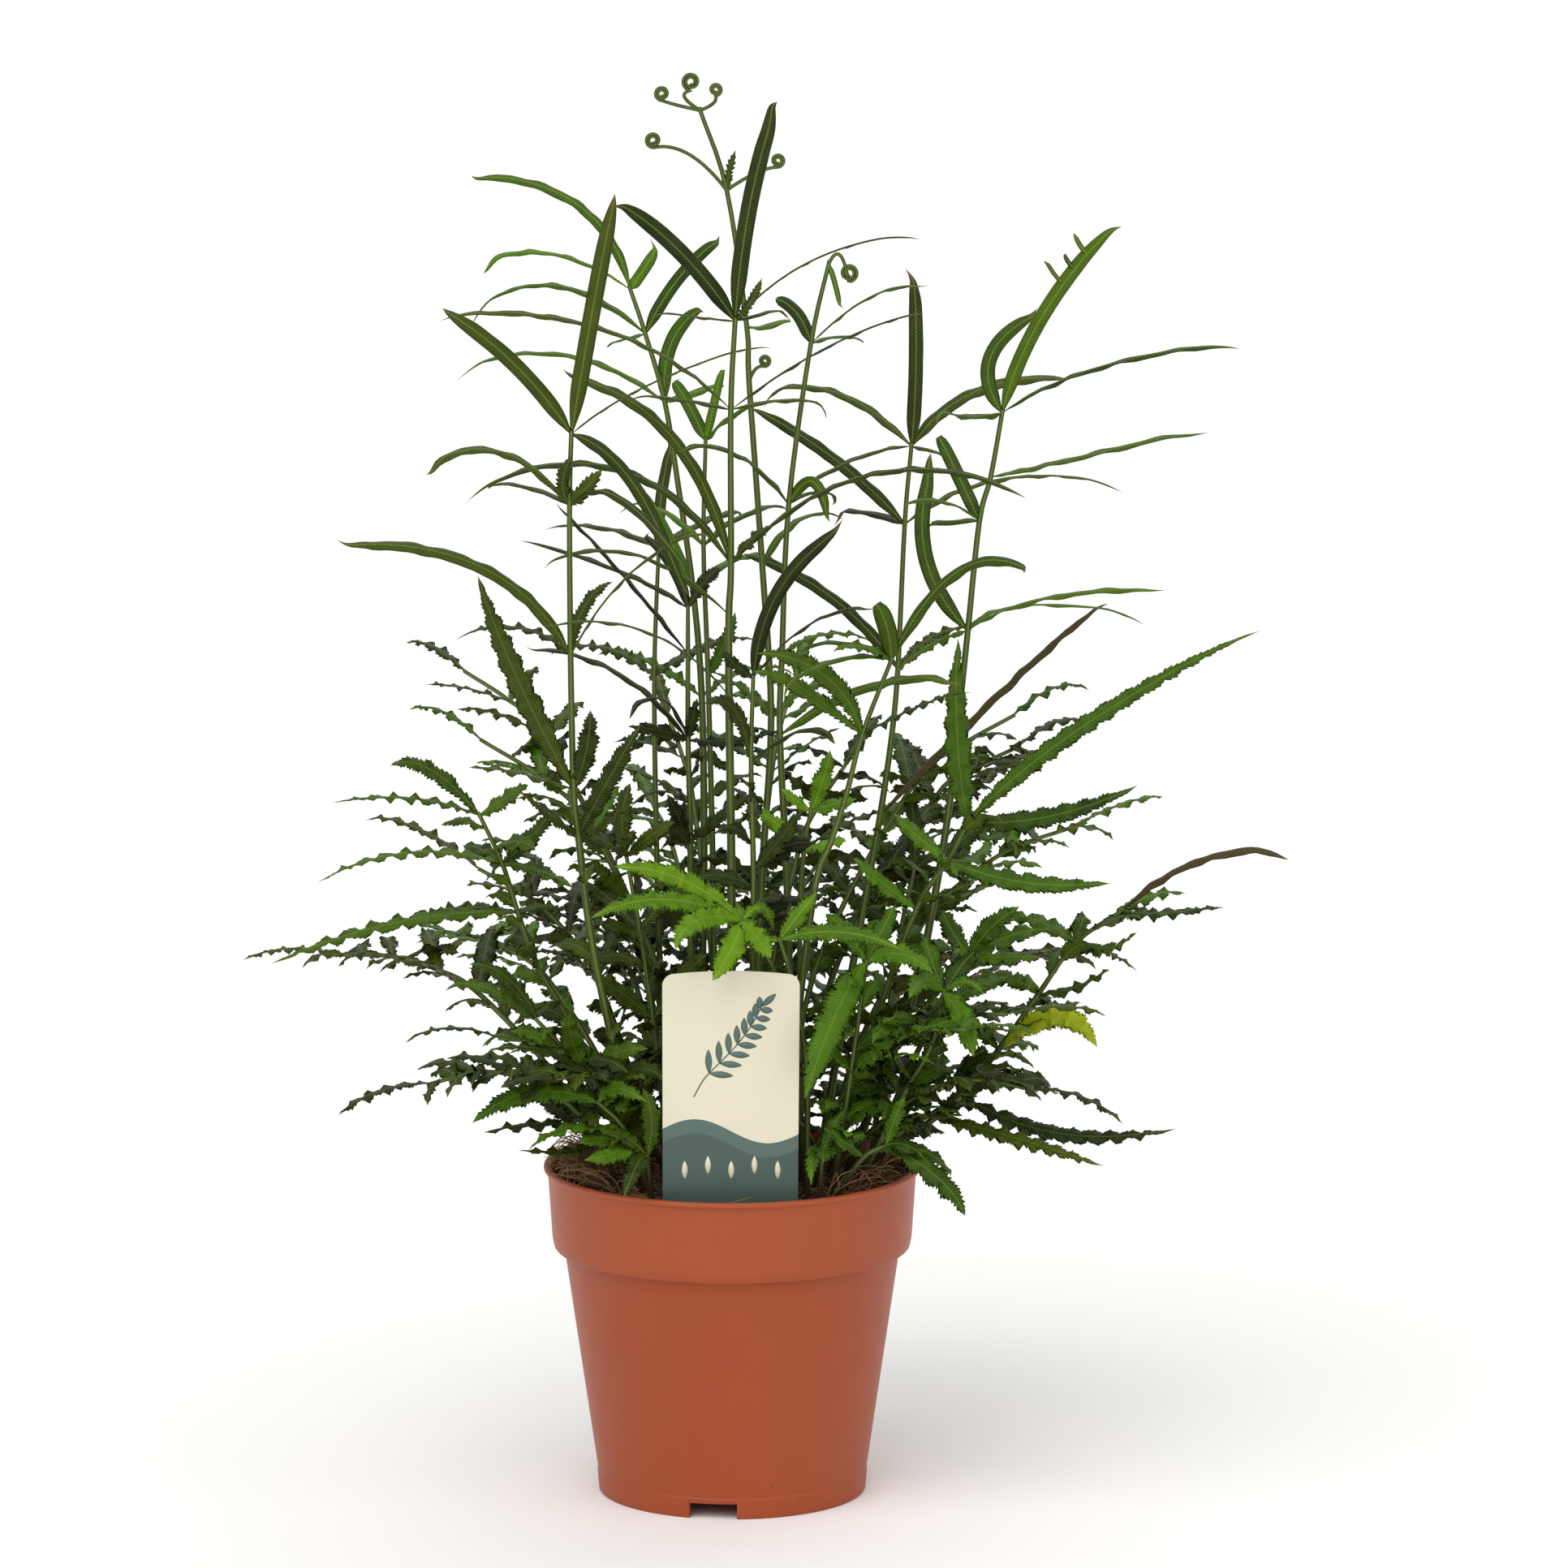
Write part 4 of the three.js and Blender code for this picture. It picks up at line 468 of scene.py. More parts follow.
# Fronds by rule: compass directions in degrees (90 is straight back), the ring that their feet stand
# on, the lean at the foot, and their lengths.
ruledFronds = [
    dict(name="back", seed=11, count=12, compass=(26, 168), ring=((44, 52), (62, 62)),
         lean=((10, 22), (30, 44)), stalk=(80, 150), leaf=(58, 84), pairs=3, blade=(44, 64),
         width=(10, 13.5)),
    dict(name="inner", seed=5, count=7, compass=(14, 166), ring=((20, 30), (32, 42)),
         lean=((4, 10), (9, 16)), stalk=(140, 215), leaf=(50, 66), pairs=2, blade=(38, 54), width=(9, 12),
         leafy=True),
    dict(name="low_front_left", seed=3, count=3, compass=(184, 232), ring=((30, 38), (44, 52)),
         lean=((20, 28), (32, 42)), stalk=(44, 84), leaf=(48, 62), pairs=3, blade=(32, 46), width=(10, 13),
         leafy=True),
    dict(name="low_front_right", seed=8, count=3, compass=(312, 358), ring=((34, 44), (46, 56)),
         lean=((20, 28), (32, 42)), stalk=(44, 84), leaf=(48, 62), pairs=3, blade=(32, 46), width=(10, 13),
         leafy=True),
]
# Leaves down the bare stalk of a low frond, on alternate sides.
stalkLeaf = dict(step=38, lowest=172, upTo=345, length=(24, 33), width=11.5, spread=62)
turns = [0, 5, -5, 10, -10, 15, -15, 20, -20, 26, -26, 32, -32]
bends = [
    (0, 0), (9, 0), (-9, 0), (18, 0), (-18, 0), (0, 6), (0, -6), (10, 8), (-10, 8), (10, -8),
    (-10, -8), (28, 0), (-28, 0), (20, 10), (-20, 10), (20, -10), (-20, -10), (40, 0), (-40, 0),
    (0, 14), (0, -14), (32, 14), (-32, 14), (32, -14), (-32, -14), (55, 0), (-55, 0),
]
crown = dict(soilTop=146, spread=1.1, height=500, bladeDepth=1.35, broadest=0.34)
upright = np.array([0.0, 0.0, 1.0])


def seeded(seed):  # the source's random numbers: a 32-bit counter, mixed
    state = [seed]

    def draw():  # the next of them, from 0 up to 1
        state[0] = (state[0] + 0x6D2B79F5) & 0xFFFFFFFF
        mixed = ((state[0] ^ (state[0] >> 15)) * (1 | state[0])) & 0xFFFFFFFF
        mixed = ((mixed + (((mixed ^ (mixed >> 7)) * (61 | mixed)) & 0xFFFFFFFF)) ^ mixed) & 0xFFFFFFFF
        return ((mixed ^ (mixed >> 14)) & 0xFFFFFFFF) / 4294967296
    return draw


def seen(across, up, depth):
    # a place that shows at across and up: what lies deeper shows higher, so that rise is taken off
    return np.array([across, depth, up - depth * viewRise], float)


def fanned(up, depth):
    # depth times 1 + spread times the share of the crown's height to the power 1.5: fronds fan out
    rise = max(0, (up - crown["soilTop"]) / crown["height"])
    return depth * (1 + crown["spread"] * rise ** 1.5)


def stalkLeaves(foot, points, random):
    # leaves on alternate sides of a stalk, from below its lowest blade down to near the soil
    out = unit(np.array([foot[0], foot[1], 0.0]))
    side = np.cross(out, upright)
    spread = math.radians(stalkLeaf["spread"])
    row = [np.array([foot[0], foot[1], crown["soilTop"] + 2.0]), *points]
    leaves = []
    left = stalkLeaf["step"] * 0.6
    for i in range(len(row) - 1, 0, -1):
        stretch = np.linalg.norm(row[i] - row[i - 1])
        ahead = unit(row[i] - row[i - 1])
        while left < stretch:
            root = row[i] - ahead * left
            hand = 1 if len(leaves) % 2 else -1
            length = stalkLeaf["length"][0] + (stalkLeaf["length"][1] - stalkLeaf["length"][0]) * random()
            droop = length * (0.05 + 0.25 * random())
            if root[2] < stalkLeaf["lowest"]:
                break
            way = unit(ahead * math.cos(spread) + side * hand * math.sin(spread) + out * 0.35)
            leaves.append(dict(kind="toothed", sense=0, width=stalkLeaf["width"], root=root,
                               middle=root + way * (length * 0.52) + upright * (length * 0.06),
                               tip=root + way * length - upright * droop,
                               facing=unit(upright + out * 0.7), bendAlong=unit(np.cross(upright, way))))
            left += stalkLeaf["step"]
        left -= stretch
    return leaves


def planShown(row, index):
    # A frond from its row of the table. A blade's tip lies bladeDepth times its depth behind its root,
    # its middle 0.45 of that, and its width is at most the share broadest of its length.
    points = [seen(across, up, fanned(up, depth)) for across, up, depth in row["stem"]]
    blades = []
    for at, midAcross, midUp, tipAcross, tipUp, deep, width, turn, kind in row["blades"]:
        stemAcross, stemUp, stemDepth = row["stem"][at]
        depth = fanned(stemUp, stemDepth)
        reach = deep * crown["bladeDepth"]
        length = math.sqrt((tipAcross - stemAcross) ** 2 + (tipUp - stemUp) ** 2 + reach ** 2)
        blades.append(dict(
            kind=kind, at=at, sense=turn, root=points[at],
            width=width if kind == "curl" else min(width, length * crown["broadest"]),
            middle=seen(midAcross, midUp, depth + reach * 0.45),
            tip=seen(tipAcross, tipUp, depth + reach),
            facing=np.array([0, -math.sin(math.radians(turn)), math.cos(math.radians(turn))]),
            bendAlong=np.array([0, 1, -viewRise])))
    lowest = min(blade["at"] for blade in blades)
    if row["tone"] != "bright" and points[lowest][2] < stalkLeaf["upTo"]:
        blades += stalkLeaves(row["foot"], points[:lowest + 1], seeded(40 + index))
    return dict(row, points=points, blades=blades)


def planRuled(rule):
    # Fronds at even steps of the compass, each up to half a step further on. Each has pairs of blades,
    # shorter towards the tip, and one blade at its end.
    random = seeded(rule["seed"])

    def between(pair):  # at random between the two
        return pair[0] + (pair[1] - pair[0]) * random()

    first, last = rule["compass"]
    fronds = []
    for i in range(rule["count"]):
        compass = math.radians(first + (last - first) * (i + 0.5 * random()) / rule["count"])
        out = np.array([math.cos(compass), math.sin(compass), 0])
        side = np.cross(out, upright)
        foot = out * between(rule["ring"][i % 2])
        lean = math.radians(between(rule["lean"][i % 2]))
        stalk = between(rule["stalk"])
        leaf = between(rule["leaf"])

        def along(length):
            # the stem: its lean grows by 0.45 radians times the square of the share of its length
            bend = lean + 0.45 * (length / (stalk + leaf)) ** 2
            return (foot + out * (length * math.sin(bend) * 0.95)
                    + upright * (crown["soilTop"] + length * math.cos(bend)))

        points = [along(stalk * 0.5)]
        points += [along(stalk + leaf * j / rule["pairs"]) for j in range(rule["pairs"] + 1)]
        blades = []
        for j in range(rule["pairs"] + 1):
            root = points[j + 1]
            ahead = unit(root - points[j])
            for hand in [0] if j == rule["pairs"] else [-1, 1]:
                length = between(rule["blade"]) * (1.15 if hand == 0 else 1 - 0.14 * j)
                spread = hand * math.radians(48 + 14 * random())
                way = ahead * math.cos(spread) + side * math.sin(spread)
                kind = "wavy" if random() < 0.35 else "toothed"
                width = between(rule["width"]) * (1 - 0.08 * j)
                tip = root + way * length - upright * (length * 0.18 * random())
                facing = unit(upright + out * 0.5 * (random() - 0.3))
                blades.append(dict(kind=kind, sense=0, width=width, root=root, tip=tip, facing=facing,
                                   middle=root + way * (length * 0.52) + upright * (length * 0.05),
                                   bendAlong=unit(np.cross(upright, way))))
        if rule.get("leafy"):
            blades += stalkLeaves(foot, points[:2], random)
        fronds.append(dict(name=f"{rule['name']}_{i + 1:02d}", tone="deep" if i % 3 else "fresh",
                           foot=foot[:2], thick=1.7, points=points, blades=blades))
    return fronds


def turned(frond, degrees):  # the same frond, turned about the pot's axis
    c, s = math.cos(math.radians(degrees)), math.sin(math.radians(degrees))
    spin = np.array([[c, -s, 0], [s, c, 0], [0, 0, 1]])
    turning = ("root", "middle", "tip", "facing", "bendAlong")
    blades = [dict(blade, **{key: spin @ blade[key] for key in turning}) for blade in frond["blades"]]
    return dict(frond, foot=(spin @ np.array([*frond["foot"], 0]))[:2],
                points=[spin @ p for p in frond["points"]], blades=blades)


def coilPoints(blade, steps, turns):
    # a coil in the plane that faces the front: a circle whose radius shrinks as it winds
    wound = np.linspace(0, 1, steps + 1)
    turn = wound * turns * 2 * math.pi
    radius = blade["width"] * (1 - 0.72 * wound)
    return blade["tip"] + np.stack([-blade["sense"] * radius * np.sin(turn), -0.9 * wound,
                                    -radius * np.cos(turn)], 1)


def settled(blade, corners):
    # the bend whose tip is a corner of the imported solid, or None
    for aside, lift in bends:
        push = blade["bendAlong"] * aside + upright * lift
        moved = dict(blade, middle=blade["middle"] + push * 0.5, tip=blade["tip"] + push)
        coiled = blade["kind"] == "curl"
        mark = coilPoints(moved, 8, 1.3)[-1] if coiled else moved["tip"]
        if np.min(np.linalg.norm(corners - mark, axis=1)) < (0.75 if coiled else 0.08):
            return moved
    return None


def settle(plan, angles):
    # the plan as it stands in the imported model: turned and bent as its solid is
    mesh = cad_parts[plan["name"]].data
    corners = np.empty(len(mesh.vertices) * 3, np.float32)
    mesh.vertices.foreach_get("co", corners)
    corners = corners.reshape(-1, 3) / mm
    best = None
    for degrees in angles:
        frond = turned(plan, degrees)
        blades = [settled(blade, corners) for blade in frond["blades"]]
        found = [blade for blade in blades if blade is not None]
        if best is None or len(found) > len(best["blades"]):
            best = dict(frond, blades=found)
    if len(best["blades"]) < len(plan["blades"]):
        print(plan["name"], "has", len(best["blades"]), "of", len(plan["blades"]), "blades")
    return best


fronds = [settle(planShown(row, index), [0]) for index, row in enumerate(shownFronds)]
fronds += [settle(plan, turns) for rule in ruledFronds for plan in planRuled(rule)]
print(len(fronds), "fronds planned")


# Leaves. Per tone of frond: its material slot, then the colours of the darkest and lightest parts of
# the face, of the midrib and of the back.
tones = {
    "deep": dict(slot="mature leaf", dark="172204", light="404E04", rib="7A8638", back="505818"),
    # dark, the shaded leaf: painted shade, a darker copy of the leaf for fronds that stand in shade under
    # the taller ones
    "dark": dict(slot="shaded leaf", dark="0E1503", light="2C3604", rib="646E2C", back="444616"),
    "mid": dict(slot="leaf", dark="1A2903", light="466404", rib="808E38", back="586418"),
    "fresh": dict(slot="fresh leaf", dark="1E3303", light="4A7204", rib="80962E", back="5C6A18"),
    "bright": dict(slot="young leaf", dark="3C6004", light="6A960A", rib="A2B43C", back="7C8E24"),
}
# Vein spacing, vein depth and patch size in mm.
leafLook = dict(veinSpacing=1.7, veinSlant=0.8, veinDepth=0.14, patch=9.0, roughness=0.36, gloss=0.2,
                spores="45342A", yellow="A8B41C", brown="3C2C1E", dryTip="6B5536")
# Blades that the photo shows turned yellow (0.5) or dry and brown (0.8 or more): the frond, x and z of
# the tip in mm, and that age.
agedBlades = [("low_right_long", 166, 208, 0.5), ("low_right_long", 253, 299, 0.9),
              ("dark_centre", 50, 445, 0.9), ("tall_right_upright", 172, 416, 0.9)]


# Living pteris leaf: thin and leathery. Its waxy face is half glossy over dark green, with a fine pale
# midrib and closely set veins that run forward to the edge. Fertile blades have a pale margin where the
# edge is rolled over the brown spore rows of the paler back. Old tips are dry and brown, and a few old
# blades are yellow or brown all over.
def leafMaterial(look):
    material, tree = newMaterial("living fern leaf, " + look["slot"])

    (along, across, under, shade, fertile, wither, age, lengthMm, acrossMm) = (
        addNode(tree, "Attribute", {"attribute_name": name}).outputs["Fac"] for name in leafValues[:9])
    place = addNode(tree, "TexCoord").outputs["Object"]
    edge, aside = (addNode(tree, "Math", {"operation": "ABSOLUTE"}, {0: value}).outputs[0]
                   for value in (across, acrossMm))
    # veins: stripes of the length along the blade less the slant times the distance from the midrib
    slanted = addNode(tree, "Math", {"operation": "MULTIPLY_ADD", 1: -leafLook["veinSlant"]},
                      {0: aside, 2: lengthMm}).outputs[0]
    turn = addNode(tree, "Math", {"operation": "MULTIPLY", 1: 2 * math.pi / leafLook["veinSpacing"]},
                   {0: slanted}).outputs[0]
    wave = addNode(tree, "Math", {"operation": "SINE"}, {0: turn}).outputs[0]
    patches = addNode(tree, "TexNoise", {"Scale": 1000 / leafLook["patch"], "Detail": 4.0},
                      {"Vector": place}).outputs["Fac"]
    patchy = addNode(tree, "Math", {"operation": "MULTIPLY_ADD", 1: 0.9}, {0: patches, 2: shade}).outputs[0]
    ending = addNode(tree, "Math", {"operation": "ADD"}, {0: along, 1: wither}).outputs[0]
    ribStrength = addNode(tree, "Math", {"operation": "MULTIPLY_ADD", 1: 0.22, 2: 0.3},
                          {0: fertile}).outputs[0]
    # each mask is 0 at the first number and 1 at the second
    lightness, vein, rib, rolled, inner, outer, yellow, brown, dry = (
        addNode(tree, "MapRange", {1: low, 2: high}, {0: source}).outputs[0] for source, low, high in (
            (patchy, 0.35, 1.5), (wave, 0.6, 1.0), (aside, 0.42, 0.16), (edge, 0.86, 0.95),
            (edge, 0.3, 0.42), (edge, 0.98, 0.86), (age, 0.0, 0.5), (age, 0.5, 0.8), (ending, 1.0, 1.06)))
    ribs, margin, band, sporing = (
        addNode(tree, "Math", {"operation": "MULTIPLY"}, {0: one, 1: other}).outputs[0]
        for one, other in ((rib, ribStrength), (rolled, fertile), (inner, outer), (fertile, under)))
    spores = addNode(tree, "Math", {"operation": "MULTIPLY"}, {0: band, 1: sporing}).outputs[0]
    colour = addNode(tree, "Mix", {"data_type": "RGBA", 6: linear(look["dark"]), 7: linear(look["light"])},
                     {0: lightness}).outputs[2]
    # colours laid over one another, each by its mask times its strength
    for hexText, mask, strength in (
            (look["rib"], vein, 0.14), (look["back"], under, 0.6), (look["rib"], ribs, 1.0),
            (look["rib"], margin, 0.55), (leafLook["spores"], spores, 0.9),
            (leafLook["yellow"], yellow, 0.75), (leafLook["brown"], brown, 0.94),
            (leafLook["dryTip"], dry, 0.85)):
        amount = addNode(tree, "Math", {"operation": "MULTIPLY", 1: strength}, {0: mask}).outputs[0]
        colour = addNode(tree, "Mix", {"data_type": "RGBA", 7: linear(hexText)},
                         {0: amount, 6: colour}).outputs[2]
    rough = addNode(tree, "MapRange", {3: leafLook["roughness"] - 0.08, 4: leafLook["roughness"] + 0.1},
                    {0: patches}).outputs[0]
    rougher = addNode(tree, "Math", {"operation": "MULTIPLY_ADD", 1: 0.2}, {0: under, 2: rough}).outputs[0]
    bump = addNode(tree, "Bump", {"Strength": 0.7, "Distance": leafLook["veinDepth"] * mm},
                   {"Height": wave}).outputs[0]
    shader = addNode(tree, "BsdfPrincipled", {"IOR": 1.45, "Specular IOR Level": leafLook["gloss"]},
                     {"Base Color": colour, "Normal": bump, "Roughness": rougher})
    addNode(tree, "OutputMaterial", links={"Surface": shader.outputs[0]})
    return material


# Fern stalk: smooth, wiry and grooved along its front, green with a paler groove and a brown foot.
stalkLook = dict(fleck=2.38, dark="28360A", light="465618", groove="72823A", foot="3E3220",
                 footFrom=178.0, footTo=152.0)


def stalkMaterial():
    # noise drawn out upwards mixes the two greens; the front is paler and the foot turns brown
    material, tree = newMaterial("smooth green fern stalk")
    turn, rise = (addNode(tree, "Attribute", {"attribute_name": name}).outputs["Fac"]
                  for name in ("across", "heightMm"))
    place = addNode(tree, "TexCoord").outputs["Object"]
    tall = addNode(tree, "Mapping", {"Scale": (1, 1, 0.12)}, {"Vector": place}).outputs[0]
    fleck = addNode(tree, "TexNoise", {"Scale": 1000 / stalkLook["fleck"], "Detail": 3.0},
                    {"Vector": tall}).outputs["Fac"]
    body = addNode(tree, "Mix", {"data_type": "RGBA", 6: linear(stalkLook["dark"]),
                                 7: linear(stalkLook["light"])}, {0: fleck}).outputs[2]
    groove = addNode(tree, "Math", {"operation": "SUBTRACT", 1: 0.75}, {0: turn}).outputs[0]
    away = addNode(tree, "Math", {"operation": "ABSOLUTE"}, {0: groove}).outputs[0]
    pale = addNode(tree, "MapRange", {1: 0.09, 2: 0.02, 4: 0.6}, {0: away}).outputs[0]
    foot = addNode(tree, "MapRange", {1: stalkLook["footFrom"], 2: stalkLook["footTo"]},
                   {0: rise}).outputs[0]
    for name, mask in (("groove", pale), ("foot", foot)):
        body = addNode(tree, "Mix", {"data_type": "RGBA", 7: linear(stalkLook[name])},
                       {0: mask, 6: body}).outputs[2]
    shader = addNode(tree, "BsdfPrincipled", {"Roughness": 0.42, "IOR": 1.45, "Specular IOR Level": 0.3},
                     {"Base Color": body})
    addNode(tree, "OutputMaterial", links={"Surface": shader.outputs[0]})
    return material


# Per kind: how far the edge is cut in, where the blade is widest and how it tapers, much as in the
# source; then the pitch and depth of its teeth, the length and height of its edge waves, all in mm, how
# far it arches across as a share of its half width, how far its tip hooks down and how far the last bit
# of it (its nib) bends aside, and its width as a share of the source's.
bladeKinds = {
    "line": dict(cut=0.0, widest=0.2, taper=8, pitch=0, tooth=0, wave=21, lift=0.5,
                 arch=0.2, hook=9, nib=4.5, slim=0.84),
    "wavy": dict(cut=0.3, widest=0.3, taper=2.4, pitch=2.6, tooth=0.85, wave=9.5, lift=1.6,
                 arch=0.1, hook=3, nib=1.5, slim=1),
    "toothed": dict(cut=0.24, widest=0.4, taper=3, pitch=2.1, tooth=1.25, wave=10, lift=1.3,
                    arch=0.16, hook=2, nib=0, slim=1),
}
# The section of a blade: thickness at the midrib and at the edge, the groove above and ridge below the
# midrib, all in mm, the most twist in radians, and where the lines of corners run across each face.
leafForm = dict(ribThick=0.62, edgeThick=0.16, groove=0.14, ridge=0.3, twist=0.3, cutShare=0.8,
                columns=(-1.0, -0.6, -0.13, 0.0, 0.13, 0.6, 1.0), backColumns=(0.5, 0.0, -0.5))
leafValues = ("along", "across", "under", "shade", "fertile", "wither", "age", "lengthMm", "acrossMm",
              "heightMm")


def along3(root, middle, tip, u):
    # the curve of the source through root, middle and tip, and its direction
    t = u[:, None]
    pull = middle * 2 - root * 0.5 - tip * 0.5
    return ((1 - t) ** 2 * root + 2 * t * (1 - t) * pull + t ** 2 * tip,
            2 * (1 - t) * (pull - root) + 2 * t * (tip - pull))


def bladeOutline(kind, width, length, random):
    # shares along the blade and half widths: a swell times a fall, less saw teeth that point forward
    if kind["pitch"]:
        teeth = max(4, round(length / kind["pitch"]))
        saw = np.tile([0.0, 0.9], teeth)
        bite = np.repeat(0.6 + 0.8 * np.array([random() for _ in range(teeth)]), 2)
        u = (np.repeat(np.arange(teeth), 2) + saw) / teeth
        u, saw, bite = np.append(u, 1.0), np.append(saw, 1.0), np.append(bite, 1.0)
    else:
        middle = np.linspace(0.2, 0.93, max(10, round(length / 4)))
        u = np.concatenate([np.linspace(0, 0.2, 6)[:-1], middle[:-1], np.linspace(0.93, 1, 6)])
        saw, bite = np.ones_like(u), np.ones_like(u)
    swell = np.sin(np.minimum(1, u / kind["widest"]) * math.pi / 2) ** 0.8
    fall = (np.maximum(0, u - kind["widest"]) / (1 - kind["widest"])) ** kind["taper"]
    lobes = 0.5 + 0.5 * np.cos(2 * math.pi * u * max(2, round(length / 11)))
    half = width * kind["slim"] / 2 * swell * (1 - fall) * (1 - kind["cut"] * leafForm["cutShare"] * lobes)
    ends = np.minimum(1, np.minimum(u * 9, (1 - u) * 9))
    half = half + kind["tooth"] * bite * (saw - 0.72) * ends * np.minimum(1, half / 2.5)
    return u, np.maximum(half, 0.35 * (1 - u) + 0.05), ends


def bladeShell(blade, random):
    # A ribbon along its curve. Its edges go up and down in waves that grow with the distance from the
    # midrib; its two faces are half the thickness above and below that sheet and meet at the edges.
    kind = bladeKinds[blade["kind"]]
    root, middle, tip = blade["root"], blade["middle"], blade["tip"]
    length = np.linalg.norm(middle - root) + np.linalg.norm(tip - middle)
    u, half, ends = bladeOutline(kind, blade["width"], length, random)
    centre, ahead = along3(root, middle, tip, u)
    ahead = unit(ahead)
    side = unit(np.cross(ahead, blade["facing"]))
    up = unit(np.cross(side, ahead))
    hook = kind["hook"] * random() * min(1, length / 50) * np.maximum(0, (u - 0.8) / 0.2) ** 1.8
    centre = centre - hook[:, None] * (up * 0.8 + ahead * 0.3 + side * 1.6 * (random() - 0.5))
    nib = kind["nib"] * (random() * 2 - 1) * np.maximum(0, (u - 0.93) / 0.07) ** 2
    centre = centre + nib[:, None] * (side - ahead * 0.5)
    angle = (leafForm["twist"] * (random() - 0.5) * 2 * u ** 1.5)[:, None]
    side, up = side * np.cos(angle) + up * np.sin(angle), up * np.cos(angle) - side * np.sin(angle)
    v = np.array(leafForm["columns"] + leafForm["backColumns"])[None, :]
    face = np.array([0] + [1] * (len(leafForm["columns"]) - 2) + [0] + [-1] * len(leafForm["backColumns"]))
    waves = []
    for _ in range(2):
        turn = u * length / (kind["wave"] * (0.85 + 0.4 * random())) * 2 * math.pi + 6.3 * random()
        waves.append((np.sin(turn) + 0.55 * np.sin(turn * 1.73 + 6.3 * random()))[:, None])
    lift = kind["lift"] * np.where(v > 0, waves[0], 0.5 * waves[0] + 0.6 * waves[1])
    lift = lift * np.abs(v) ** 1.6 * (ends * np.minimum(1, half / 2.2))[:, None]
    thick = leafForm["edgeThick"] + (leafForm["ribThick"] - leafForm["edgeThick"]) * (1 - np.abs(v)) ** 0.6
    full = np.minimum(1, half / 1.2)[:, None]
    rib = (np.abs(v) < 0.05) * np.where(face > 0, leafForm["groove"], leafForm["ridge"])
    rise = lift - kind["arch"] * half[:, None] * v ** 2 + (face * thick / 2 - rib) * full
    points = (centre[:, None, :] + side[:, None, :] * (v * half[:, None])[..., None]
              + up[:, None, :] * rise[..., None])
    rings, sides = points.shape[:2]
    points = points.reshape(-1, 3)
    spread = np.ones((rings, sides))
    values = dict(along=(u[:, None] * spread).ravel(), across=(v * spread).ravel(),
                  lengthMm=(u[:, None] * length * spread).ravel(), acrossMm=(v * half[:, None]).ravel(),
                  under=((face < 0) * spread).ravel(), heightMm=300.0, shade=random(),
                  fertile=1.0 if blade["kind"] == "line" else 0.0, age=blade.get("age", 0.0),
                  wither=0.09 * random() ** 3 if blade["kind"] == "line" else 0.0)
    return points, outward(points, ringQuads(rings, sides)), 0, values


def stalkShell(frond):
    # a tube that stands upright in its hole and then goes through the stem's points
    x, y = frond["foot"]
    row = [(x, y, crown["soilTop"] - 9.6), (x, y, crown["soilTop"] + 2), *frond["points"]]
    end = row[-1] + unit(np.array(row[-1]) - np.array(row[-2])) * 1.5
    row = throughPoints([*row[:-1], end], 5)
    radii = np.linspace(frond["thick"], max(1, frond["thick"] * 0.48), len(row)) * 0.93
    points, quads, turn = tubeShell(row, radii, 12, 0.16)
    return points, quads, 1, dict(across=turn, heightMm=points[:, 2])


def curlShell(blade):
    # a thin stalk that leads into a coil, wound closer than in the source
    coil = coilPoints(blade, 56, 2.1)
    stalk, _ = along3(blade["root"], blade["middle"], coil[0], np.linspace(0, 1, 14)[:-1])
    row = np.concatenate([stalk, coil])
    points, quads, turn = tubeShell(row, np.linspace(0.85, 0.6, len(row)), 8)
    return points, quads, 1, dict(across=turn, heightMm=320.0)


# The lower crown is a close mass of short leaves: more of them along the stalks, at random turns.
lowLeaves = dict(step=10, lowest=166, highest=330, length=(17, 32), width=0.43, spread=(40, 85), turn=70)


def leavesBetween(frond, random):
    # a leaf at each step of the stem, on alternate sides, turned about it and spread off it at random,
    # and left out where its tip is in front of the card or low over the rim
    def between(pair):  # at random between the two
        return pair[0] + (pair[1] - pair[0]) * random()

    x, y = frond["foot"]
    row = np.array([(x, y, crown["soilTop"] + 2), *frond["points"]])
    stretches = np.linalg.norm(np.diff(row, axis=0), axis=1)
    reach = np.concatenate([[0], np.cumsum(stretches)])
    outward = unit(np.array([x, y, 0.0]))
    leaves = []
    hand = 1
    for far in np.arange(lowLeaves["step"], reach[-1], lowLeaves["step"]):
        root = np.array([np.interp(far, reach, row[:, k]) for k in range(3)])
        ahead = unit(row[np.searchsorted(reach, far)] - row[np.searchsorted(reach, far) - 1])
        hand = -hand
        turn = math.radians(lowLeaves["turn"]) * (random() - 0.5) * 2
        side = np.cross(outward, upright) * math.cos(turn) * hand + outward * math.sin(turn)
        spread = math.radians(between(lowLeaves["spread"]))
        length = between(lowLeaves["length"])
        way = unit(ahead * math.cos(spread) + side * math.sin(spread) + outward * 0.2)
        tip = root + way * length - upright * length * 0.3 * random()
        facing = unit(upright + outward * (0.4 + 0.8 * random()))
        kind = "wavy" if random() < 0.3 else "toothed"
        onLabel = abs(tip[0]) < 34 and tip[1] < -58  # the card is 31 mm wide each way, at y -67
        onRim = math.hypot(tip[0], tip[1]) > 74 and tip[2] < 166
        if not lowLeaves["lowest"] < root[2] < lowLeaves["highest"] or onLabel or onRim:
            continue
        leaves.append(dict(kind=kind, width=length * lowLeaves["width"], root=root, tip=tip, facing=facing,
                           middle=root + way * (length * 0.52) + upright * (length * 0.08)))
    return leaves


# One tip is torn into narrow fingers: its frond and the least x and z of that tip, then for each finger
# its share along the blade, its length and its width.
fingers = dict(name="tall_far_right", x=150, z=555,
               each=((0.66, 14, 2.4), (0.74, 9, 2.6), (0.82, 11, 2.8)))


